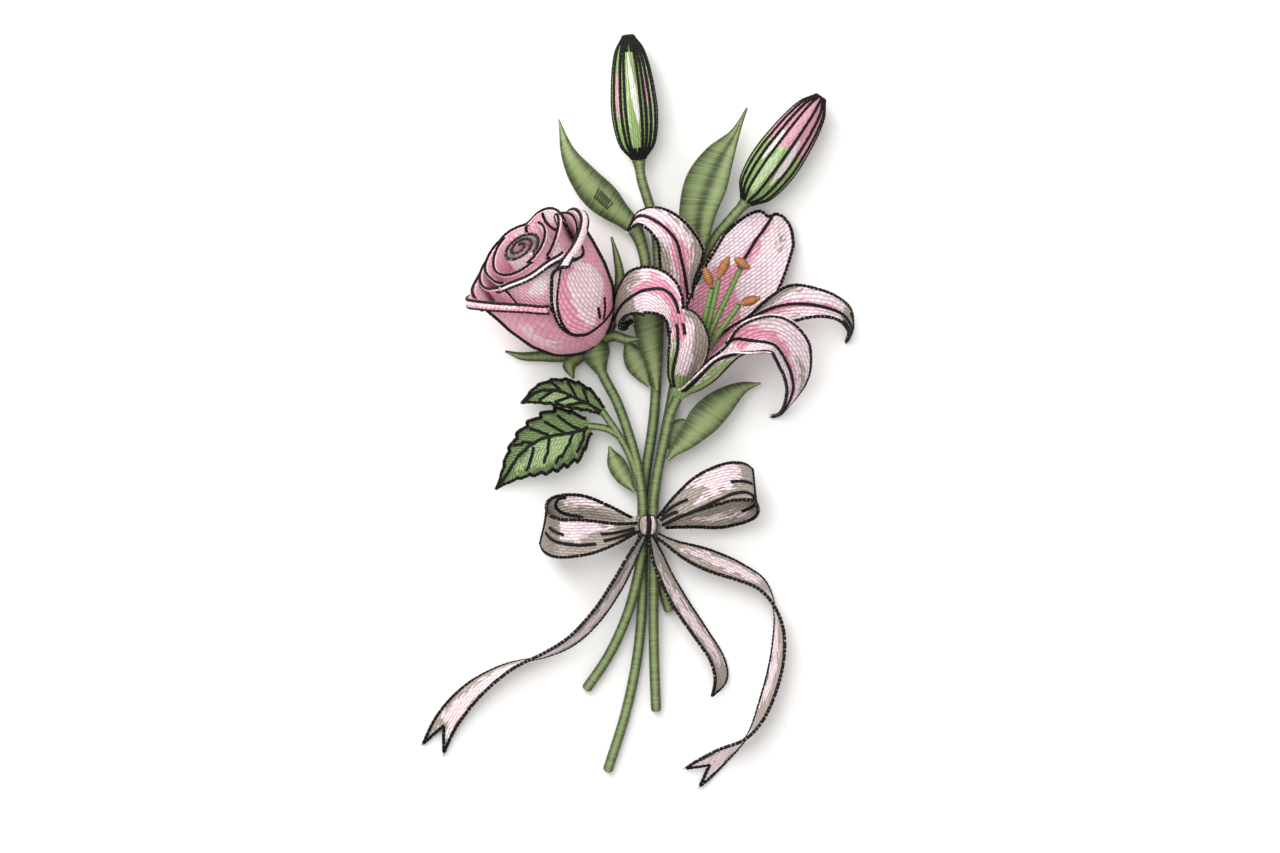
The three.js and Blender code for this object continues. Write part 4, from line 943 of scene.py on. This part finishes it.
# lily. The bands of a tepal are zone 0 pink, 1 grey-olive and 2 green. sewnFrom and sewnTo are how much of
# its margins is sewn round
tepalLook = {"edge": 0.9, "middle": 1.3, "wave": 0.5, "waves": 6, "sewnFrom": (0.02, 0.02), "sewnTo": 1,
             "columns": 26, "rows": 84}
tepals = [
    {"spine": [(18.5, 74, 15.5), (29, 96.5, 13), (43, 121, 11), (57, 146.5, 10), (67.5, 173.5, 5)],
     "halfWidths": [5, 12, 17.5, 21, 21.8, 21, 19.5, 18], "normals": [(0, -0.15, 1)],
     "cup": [0.35, 0.3, 0.15, 0],
     "tip": [0.22, 0.125, 0.065, 0.03, 0.018, 0.034, 0.003, 0.004, 0.02, 0.055, 0.13], "slant": 26,
     "bands": [
         fill(0, (0, 0.68), [0, 0, -0.1, -0.35, -0.5], [1.2, 1.2, 1.1, 0.65, 0.25]),
         fill(0, (0.5, 0.94), [-0.2, -0.18, -0.12, -0.02, 0.1], [0.2, 0.14, 0.13, 0.1, 0.05]),
         fill(1, (0.6, 0.7), [-0.95], [0.15]),
         fill(1, (0.84, 0.92), [0.58], [0.06])],
     "lines": [seam(1, [(-0.22, 0.68), (-0.17, 0.75), (-0.1, 0.85), (0.02, 0.93), (0.12, 0.985)])]},
    {"spine": [(18, 76, 14), (21, 100, 12), (22, 121, 15.5), (18.5, 144, 24), (12, 160, 28.5), (3, 168, 27),
               (-5, 169, 22), (-11.5, 161, 15)], "halfWidths": [4.5, 8, 12, 14, 13, 9, 6, 0.8],
     "normals": [(0.1, -0.1, 1), (0.1, 0, 1), (-0.1, 0.3, 1), (-0.6, 0.5, 0.7)], "cup": [0.3, 0.2, 0, -0.1],
     "rightShare": [0.2, 0.15, 0.13, 0.13, 0.17, 0.45, 1.15, 1.3, 1.25, 1.1, 1], "slant": 5,
     "bands": [
         fill(0, (0, 0.86), [0, 0, 0, 0.05, 0], [1, 0.6, 0.38, 0.3, 0.1]),
         fill(1, (0.42, 0.84), [0.9, 0.75, 0.85, 0.95, 1], [0.35, 0.35, 0.25, 0.2, 0.1]),
         fill(1, (0.38, 0.74), [-0.85], [0.3, 0.35, 0.2])],
     "lines": [
         seam(1, [(0.02, 0.2), (0.02, 0.41), (0.02, 0.51), (0.03, 0.6), (0.09, 0.68), (0.02, 0.75),
                  (-0.03, 0.83), (0.15, 0.9), (0.1, 0.98)])]},
    {"spine": [(16, 77, 18), (14.5, 91, 28), (14.5, 103, 36.5), (13, 113, 43), (9.5, 121, 46),
               (3.5, 127, 46.5), (-4, 128.5, 42.5), (-12, 124, 36), (-16.5, 117, 29), (-17.5, 112, 25),
               (-14.5, 110, 21.5), (-8.6, 112.4, 20.5)],
     "halfWidths": [4.5, 6, 6, 6.5, 6.5, 8, 12.5, 14.5, 13, 9.5, 6.4, 4.8, 2.6],
     "normals": [(0.7, 0.1, 0.7), (0.6, 0.2, 0.7), (0.3, 0, 0.9), (0, -0.1, 1), (0, 0, 1), (-0.1, 0.1, 1),
                 (-0.4, 0.3, 0.9), (-0.8, 0, 0.4), (0.1, -0.45, -0.9)], "cup": [0.2, 0.1, 0, -0.15],
     "leftShare": [0.6, 0.6, 0.6, 0.55, 0.45, 0.8, 1, 1, 1, 1, 1], "sewnFrom": (0.3, 0.43), "sewnTo": 0.97,
     "bands": [
         fill(0, (0.3, 0.74), [0.4, 0.4, 0.25, 0.05], [0.9, 0.35, 0.25, 0.1]),
         fill(0, (0.5, 0.6), [0.6], [0.12]),
         fill(1, (0.69, 1), [0], [1.2, 1.2, 2, 8]),
         fill(1, (0.64, 0.72), [0.75], [0.4])],
     "lines": [
         seam(1, [(0.6, 0.42), (0.43, 0.52), (0.12, 0.58), (-0.02, 0.64), (-0.08, 0.7), (-0.08, 0.79),
                  (0, 0.88), (0, 0.93)]),
         seam(-1, [(-0.6, 0.92), (-0.6, 0.96), (-0.5, 1)]),
         seam(-1, [(0.1, 0.92), (0.1, 0.96), (0, 1)]),
         seam(1, [(-0.7, 0.92), (-0.7, 0.96), (-0.6, 1)])]},
    {"spine": [(21, 76, 14), (36, 97, 15), (50, 109, 20), (62, 116.5, 25), (74, 120.5, 28), (88, 121.5, 27),
               (100, 120, 22), (109, 115.5, 14.5), (112, 108, 6.6), (109, 100.5, 1.2)],
     "halfWidths": [4.5, 8, 11.5, 14, 14, 11, 7.8, 6.2, 5.2, 1.8],
     "normals": [(-0.2, 0, 1), (-0.1, 0, 1), (0.1, 0.1, 1), (0.9, 0.2, 0.4)], "cup": [0.3, 0.2, 0, -0.15],
     "leftShare": [0.3, 0.28, 0.25, 0.2, 0.12, 0.5, 1.2, 1.3, 1.15, 1, 1],
     "bands": [
         fill(0, (0, 0.78), [0, 0, 0.25, 0.0, 0.2], [1.2, 1.2, 0.6, 0.2, 0.1]),
         fill(1, (0.42, 0.62), [-0.85], [0.4, 0.4, 0.2]),
         fill(1, (0.5, 0.62), [1], [0.3]),
         fill(1, (0.82, 1), [0], [1.2, 2, 8])],
     "lines": [
         seam(1, [(0.1, 0.3), (-0.02, 0.43), (-0.04, 0.52), (0.01, 0.64), (0.15, 0.73), (0.22, 0.8),
                  (0.3, 0.88), (0, 0.98)]),
         seam(1, [(-0.5, 0.86), (-0.4, 0.92), (-0.3, 0.99)]),
         seam(1, [(0.7, 0.84), (0.7, 0.92), (0.4, 0.99)])]},
    {"spine": [(20, 73, 19), (26.5, 74.5, 25), (35.5, 79.8, 32), (44.6, 88, 39), (52.5, 96, 43.5),
               (60.5, 101.5, 45.5), (69, 102, 43.5), (77, 96, 38), (81.5, 87, 30), (81.8, 77, 20.5),
               (77.5, 66.5, 10.5), (72.5, 61, 3.8), (67, 59.6, 1)],
     "halfWidths": [4, 7.5, 10, 10, 9, 10.5, 13, 12.5, 10, 8, 6, 3.5, 0.8],
     "normals": [(-0.67, 0.74, 0.1), (-0.67, 0.74, 0.1), (-0.6, 0.7, 0.15), (-0.1, 0.3, 0.9), (0.1, 0.1, 1),
                 (0.4, 0, 0.9), (0.8, -0.2, 0.6), (0.8, -0.4, 0.4)],
     "cup": [0.9, 0.95, 0.9, 0.5, 0.1, -0.1, -0.1], "rightShare": [1, 1, 1, 1, 1, 0.7, 0.85, 1, 1, 1, 1],
     "bands": [
         fill(0, (0.34, 0.9), [-0.6, -0.1, 0.3, 0.35, 0.7], [0.6, 0.25, 0.16, 0.2, 0.4]),
         fill(1, (0.62, 0.86), [-0.2, -0.4, -0.6], [0.06, 0.2, 0.1]),
         fill(1, (0.02, 0.32), [0.85, 0.8, 0.75], [0.05, 0.12, 0.1]),
         fill(2, (0, 0.36), [0.3, 0.45, 0.6], [0.7, 0.3, 0.15])],
     "lines": [
         seam(1, [(-0.98, 0.3), (-0.71, 0.36), (0.15, 0.43), (0.4, 0.53), (0.46, 0.67), (0.38, 0.8),
                  (0.45, 0.92), (0, 0.99)]),
         seam(-1, [(0.8, 0.04), (0.88, 0.16), (0.92, 0.26), (0.8, 0.34)]),
         seam(-1, [(0.05, 0.03), (0.12, 0.15), (0.25, 0.25), (0.5, 0.36)])]},
    {"spine": [(16.4, 74, 20.5), (16.5, 82, 29), (19.5, 91.5, 36.5), (21.5, 102, 41), (19.5, 112, 41.5),
               (13, 118, 38)], "halfWidths": [5, 9.5, 13, 13.5, 10, 4],
     "normals": [(-0.1, -0.6, 0.9), (0.1, -0.3, 1), (0.2, 0, 1)], "cup": [-0.4, -0.35, -0.3],
     "leftShare": [0.7, 0.6, 0.6, 0.65, 0.7, 0.8, 0.9, 1],
     "bands": [
         fill(0, (0.5, 0.98), [-0.5, -0.45, -0.4], [0.1, 0.35, 0.5]),
         fill(1, (0.2, 0.92), [0.6, 0.6, 0.6, 0.8], [0.1, 0.25, 0.35, 0.3]),
         fill(2, (0, 0.24), [0], [1.2, 1.2, 0.2]),
         fill(2, (0, 0.62), [-0.6, -0.6, -0.75], [0.6, 0.3, 0.08])],
     "lines": [
         seam(1, [(-0.42, 0.06), (-0.5, 0.3), (-0.46, 0.49), (-0.5, 0.7), (-0.48, 0.9)]),
         seam(1, [(-0.13, 0.7), (-0.1, 0.8), (-0.06, 0.9)])]},
]
outline = newOutline()
for number, tepal in enumerate(tepals, 1):
    form = Blade(**{**tepalLook, **tepal})
    addPiece(f"lily_tepal_{number}", form, "lily_tepal_thread", "lily_bloom")
    sewMargins(outline, form, form.sewnFrom, form.sewnTo)
    if "tip" in tepal:
        sewEnd(outline, form, 60)
    for line in form.lines:
        sew(outline, form, **line)
finishPiece("lily_outline", outline, "black_outline_thread", ["lily_bloom"])

lilyFoot = {"spine": [(16.6, 70.7, 15.4), (18.2, 74.2, 16.6), (20.4, 79, 19)],
            "radii": [3.4, 5.6, 6.2, 4.5], "bands": [fill(2, (0, 1), [0], [4])], "columns": 32, "rows": 16}
addPiece("lily_foot", Tube(**lilyFoot), "lily_tepal_thread", "lily_bloom")

# painted shade at the sides of the round filaments and anthers
winding = {"slant": 90, "shade": [1, 1, 1, 0.5, 0, 0.55, 1, 1, 1]}
filament = {**winding, "radii": [1.7, 1.5], "wound": 0.16, "pitch": 1.3}
filamentFoot = {"spine": [(24, 83.5, 17.4), (26, 87.6, 17.8), (28, 92, 19.4)], "radii": [1.4, 2.4, 2.8]}
anther = {**winding, "radii": [0.9, 2.2, 2.7, 2.2, 0.8], "wound": 0.25, "pitch": 1.4, "columns": 18,
          "rows": 44}
stamens = [
    {"spine": [(26.2, 90, 18.6), (30.2, 109, 30), (35.1, 130.1, 43.3)],
     "anther": [(31, 141.5, 47), (35, 131, 44)]},
    {"spine": [(26.8, 90, 18.6), (33.5, 112, 31.5), (39, 135, 47.2)],
     "anther": [(38.6, 136, 48), (44.5, 147.5, 52)]},
    {"spine": [(27.4, 90, 18.6), (38.5, 115, 33), (50.9, 141, 47.6)],
     "anther": [(47.6, 147, 50), (56, 141, 49)]},
    {"spine": [(28, 89.5, 18.6), (38.5, 105, 29), (50, 120.9, 40.3)],
     "anther": [(50.6, 121.6, 41), (61.5, 125, 43)]},
]
bm = newWork()
for shape in [filamentFoot, *stamens]:
    addForm(bm, Tube(**{**filament, **shape}))
finishPiece("lily_filaments_thread", bm, "green_satin_thread", ["lily_filaments"])
for number, stamen in enumerate(stamens, 1):
    node = f"lily_anther_{number}"
    form = Tube(spine=stamen["anther"], **anther)
    addPiece(node + "_thread", form, "ochre_satin_thread", node)
print("lily is made")

# buds. Their bands are zone 0 pink, 1 pale and 2 light green. ridges are the places round a bud, as u, of
# its sewn ridges, and shorts those of ridges that are only sewn near its ends
budProfile = [0.25, 0.72, 0.91, 0.99, 1, 0.95, 0.88, 0.77, 0.58, 0.2]
budLook = {"ribs": 6, "ribDepth": 0.05, "columns": 96, "rows": 90}
ridgeSewn = (0.01, 0.5, 0.99)  # places along a bud
shortsSewn = [(0.86, 0.99), (0.01, 0.1)]
buds = {
    "bud_top": {"spine": [(-5.1, 200.5, 12.6), (-8, 235, 12.9), (-11, 270, 12.4)], "widest": 12.6,
                "slot": "bud_green",
                "bands": [
                    fill(1, (0.26, 0.86), [0.05, 0.025, 0.01, -0.02, -0.04],
                         [0.008, 0.035, 0.042, 0.028, 0.008], firm=6),
                    fill(0, (0.34, 0.69), [-0.255], [0.015, 0.03, 0.015], firm=6),
                    fill(0, (0.42, 0.7), [0.207], [0.01, 0.02, 0.015], firm=6),
                    fill(2, (0.1, 0.82), [-0.08], [0.004, 0.014, 0.014, 0.002], firm=3),
                    fill(2, (0.1, 0.8), [0.285], [0.004, 0.02, 0.02, 0.004], firm=3)],
                "ridges": [-0.87, -0.74, -0.62, -0.5, -0.4, -0.31, -0.205, -0.13, 0.093, 0.17, 0.245, 0.32,
                           0.41, 0.5, 0.62, 0.74, 0.87], "shorts": [-0.06, 0.03], "wide": 0.95},
    "bud_side": {"spine": [(53.6, 177.4, 12.8), (74, 205.5, 13.8), (95.5, 236, 12.8)], "widest": 13.3,
                 "slot": "bud_pink",
                 "bands": [
                     fill(0, (-1, 1), [0.78, 0.78, 0.78, 0.72, 0.8, 0.74, 0.7, 0.76, 0.78],
                          [0.26, 0.26, 0.26, 0.2, 0.28, 0.22, 0.18, 0.24, 0.26], firm=0.3, along="u"),
                     fill(1, (0.22, 0.62), [0.15, 0.15, 0.14, 0.13], [0.01, 0.05, 0.045, 0.02], firm=5),
                     fill(1, (0.34, 0.62), [-0.18, -0.17, -0.17], [0.01, 0.035, 0.03], firm=5),
                     fill(2, (0.1, 0.5), [-0.03], [0.03, 0.06, 0.03])],
                 "ridges": [-0.87, -0.74, -0.62, -0.5, -0.4, -0.3, -0.22, -0.11, 0.065, 0.22, 0.31, 0.4,
                            0.5, 0.62, 0.74, 0.87], "shorts": [], "wide": 0.92},
}
for name, bud in buds.items():
    form = Tube(**bud, **budLook, radii=[bud["widest"] * share for share in budProfile])
    addPiece(name + "_thread", form, "bud_thread", name)
    paths = [[(turn, v) for v in ridgeSewn] for turn in form.ridges]
    paths += [[(turn, v) for v in sewn] for turn in form.shorts for sewn in shortsSewn]
    outline = newOutline()
    for path in paths:
        sew(outline, form, path, side=1, wide=form.wide, tall=1.2)
    finishPiece(name + "_outline", outline, "black_outline_thread", [name])
print("buds are made")

# ribbon. Its bands are zone 0 pale pink and 1 dark taupe
ribbon = {"halfWidth": 7, "thickness": 0.9}
ribbonLook = {"edge": ribbon["thickness"], "middle": ribbon["thickness"], "slant": 4}
loopStrip = {"halfWidths": [3.2, 6.5, 10, 11.2, 11.4, 11.2, 10, 6.5, 3.2], "columns": 18, "rows": 110}
tailStrip = {"columns": 16, "rows": 120}
tailRoot = 2.6  # half its width at the knot
loops = {
    "ribbon_loop_left": {"spine": [(-5.4, -1.2, 20.6), (-20, -5, 25), (-38, -7, 27.5), (-50, -7, 25.5),
                                   (-56.5, -3, 19), (-54, 4, 12.5), (-42, 7, 9.6), (-24, 5, 11.5),
                                   (-8.4, 1.4, 16.6)],
                         "normals": [(0, 0, 1), (0, 0, 1), (0.1, -0.1, 1), (-1, 0, 0.3), (-0.4, 0.2, -0.9),
                                     (0, 0.1, -1), (0, 0, -1)],
                         "bands": [
                             fill(0, (0.13, 0.4), [0.45, 0.5, 0.4, 0.4], [0.15, 0.4, 0.5, 0.4]),
                             fill(0, (0.63, 0.94), [0.85, 0.65, 0.75, 0.85], [0.1, 0.45, 0.2, 0.1]),
                             fill(1, (0.0, 0.1), [0], [1]),
                             fill(1, (0.4, 0.6), [0.2], [1.2]),
                             fill(1, (0.72, 0.95), [-0.1], [0.4])],
                         "lines": [
                             seam(1, [(0.36, 0.46), (0.28, 0.42), (0.19, 0.37)]),
                             seam(1, [(0.02, 0.48), (-0.12, 0.44), (-0.24, 0.37), (-0.38, 0.3),
                                      (-0.43, 0.22)]),
                             seam(1, [(0.11, 0.19), (0.04, 0.1), (0, 0.02)]),
                             seam(1, [(-0.36, 0.18), (-0.42, 0.1), (-0.5, 0.02)]),
                             seam(1, [(-1, 0.5), (0, 0.51), (1, 0.53)], tall=1.6),
                             seam(-1, [(0.81, 0.67), (0.79, 0.64), (0.58, 0.62), (0.23, 0.63),
                                       (-0.07, 0.67), (-0.25, 0.75)])]},
    "ribbon_loop_right": {"spine": [(6, 1.6, 20.6), (18, 11, 25), (34, 20, 28), (47.5, 24, 26),
                                    (57.5, 22, 19), (56, 14.5, 12.5), (43, 9, 9.6), (25, 5, 11.5),
                                    (8.4, 0.6, 16.6)],
                          "normals": [(0, 0, 1), (0, 0, 1), (0, 0.1, 1), (0.9, 0.3, 0.3), (0.4, 0, -0.9),
                                      (0, -0.1, -1), (0, 0, -1)],
                          "bands": [
                              fill(0, (0.2, 0.43), [-0.75, -0.5, -0.25, -0.35], [0.06, 0.35, 0.6, 0.45]),
                              fill(0, (0.2, 0.36), [0.3, 0.25, 0.1], [0.1, 0.2, 0.2]),
                              fill(0, (0.63, 0.86), [0.55, 0.35, 0.3], [0.12, 0.2, 0.1]),
                              fill(1, (0.0, 0.1), [0], [1]),
                              fill(1, (0.5, 0.6), [0], [1.2]),
                              fill(1, (0.62, 0.9), [0.85], [0.2])],
                          "lines": [
                              seam(1, [(0.94, 0.02), (0.94, 0.12), (0.82, 0.21), (0.7, 0.31), (0.59, 0.39),
                                       (0.56, 0.45), (0.69, 0.49), (0.9, 0.51)]),
                              seam(-1, [(0.9, 0.53), (0.7, 0.56), (0.45, 0.59), (0.37, 0.64)]),
                              seam(1, [(-0.07, 0.17), (-0.3, 0.1), (-0.5, 0.03)]),
                              seam(1, [(0.33, 0.1), (0.1, 0.06), (-0.1, 0.01)]),
                              seam(1, [(0.01, 0.38), (0.01, 0.44), (0.02, 0.49)]),
                              seam(1, [(-1, 0.5), (0, 0.51), (1, 0.52)], tall=1.6)]},
}
tails = {
    "ribbon_tail_left": {"spine": [(-2.5, -6.3, 17.9), (-9.5, -19, 17.5), (-17, -33, 13), (-28, -49.5, 9.6),
                                   (-42, -63.5, 8.2), (-56, -71, 8), (-77, -78.5, 7.2), (-97, -92, 5.4),
                                   (-111, -108.5, 3.4), (-119, -125, 1.6)],
                         "angles": [50, 62, 62, 62, 72, 90, 118, 145, 168, 178], "notch": 0.09,
                         "bands": [
                             fill(0, (0.08, 0.56), [-0.3, -0.1], [0.25, 0.5, 0.4]),
                             fill(0, (0.5, 0.97), [0.2, 0.3, 0.1], [0.4, 0.6, 0.5])]},
    "ribbon_tail_middle": {"spine": [(1.7, -7.2, 17.4), (7.5, -23.5, 14.5), (16.5, -41, 11),
                                     (28.5, -59, 7.5), (38, -74, 7.4), (40, -85, 7), (35, -94.5, 4.4)],
                           "angles": [50, 60, 50, 50, 55, 60, 40],
                           "bands": [fill(0, (0.16, 0.8), [0.2, 0.1, -0.2], [0.25, 0.5, 0.4])],
                           "endHalfWidth": 0.6},
    "ribbon_tail_right": {"spine": [(5.2, -6, 16.8), (17.5, -13, 14.5), (35, -20, 11), (50.5, -26, 8.8),
                                    (62.5, -33, 7.8), (70.5, -48, 7.4), (72, -66, 7.6), (67, -91, 8),
                                    (56, -115, 8.4), (39.5, -127.5, 6), (23, -140, 1.8)],
                          "angles": [55, 35, 35, 55, 90, 118, 125, 118, 90, 45, 2], "notch": 0.07,
                          "bands": [
                              fill(0, (0.08, 0.34), [-0.1], [0.3, 0.5]),
                              fill(0, (0.38, 0.72), [-0.3], [0.45]),
                              fill(0, (0.82, 1), [0], [0.3, 0.8, 1])]},
}


def turnedFaces(angles, spine):
    # which way a ribbon faces along its spine, from the degrees that it turns out of level at each point
    spine = np.array(spine, float)
    faces = []
    for k, angle in enumerate(np.radians(angles)):
        way = spine[min(k + 1, len(spine) - 1)] - spine[max(k - 1, 0)]
        way[2] = 0
        way = unit(way)
        side = np.array([way[1], -way[0], 0])
        faces.append(-side * math.sin(angle) + np.array([0, 0, math.cos(angle)]))
    return faces


outline = newOutline()
for name, loop in loops.items():
    form = Blade(**loop, **ribbonLook, **loopStrip)
    piece = addPiece(name + "_cloth", form, "ribbon_thread", name)
    sewMargins(outline, form)
    for line in form.lines:
        sew(outline, form, **line)
for name, tail in tails.items():
    full = ribbon["halfWidth"]
    form = Blade(**tail, **ribbonLook, **tailStrip, normals=turnedFaces(tail["angles"], tail["spine"]),
                 halfWidths=[tailRoot] + [full] * 6 + [tail.get("endHalfWidth", full)])
    piece = addPiece(name + "_cloth", form, "ribbon_thread", name)
    sewMargins(outline, form)
    if form.notch:
        sewEnd(outline, form, 40)

knot = {"spine": [(0, -5.4, 18.6), (0, 0, 19), (0, 5.4, 18.6)], "radii": [3.4, 4.4, 4.8, 4.4, 3.4],
        "roundStart": 1, "roundEnd": 1, "slant": 10, "bands": [fill(0, (0, 1), [0.1], [0.12])],
        "columns": 40, "rows": 30, "folds": (-0.5, -0.02, 0.05, 0.5), "rims": (0.03, 0.97)}
form = Tube(**knot)
addPiece("ribbon_knot_cloth", form, "ribbon_thread", "ribbon_knot")
for turn in form.folds:
    sew(outline, form, [(turn, 0.05), (turn + 0.03, 0.5), (turn, 0.95)], side=1)
for v in form.rims:
    sew(outline, form, [(-0.6, v), (0, v), (0.6, v)], side=1)
finishPiece("ribbon_outline", outline, "black_outline_thread", [*loops, *tails])

# the band round the four stems, with rounded corners
band = {"half": 7, "top": 13.9, "corner": 3, "reach": 5, "steps": 241}


class Band(Form):
    # u runs round it, from the middle of its underside, and v along the stems
    length = 2 * band["reach"]
    wall = ribbon["thickness"]
    columns, rows = 96, 8
    slant = 90

    def __init__(self):
        straight, tall = 2 * (band["half"] - band["corner"]), band["top"] - 2 * band["corner"]
        turns = np.linspace(-math.pi / 2, 3 * math.pi / 2, band["steps"])
        r = band["corner"] - self.wall / 2
        x = np.sign(np.round(np.cos(turns), 6)) * straight / 2 + r * np.cos(turns)
        z = band["top"] / 2 + np.sign(np.round(np.sin(turns), 6)) * tall / 2 + r * np.sin(turns)
        way = np.concatenate([[0], np.cumsum(np.hypot(np.diff(x), np.diff(z)))])
        self.halfWidth = way[-1] / 2
        self.way, self.x, self.z = way / way[-1], x, z

    def at(self, u, v):
        share = (u + 1) / 2
        y = (0.5 - v) * 2 * band["reach"]
        return np.column_stack([np.interp(share, self.way, self.x), y, np.interp(share, self.way, self.z)])


bm = newWork()
addForm(bm, Band())
bmesh.ops.remove_doubles(bm, verts=bm.verts, dist=1e-6)
finishPiece("ribbon_band_cloth", bm, "ribbon_thread", ["ribbon_band"])
print("ribbon is made")
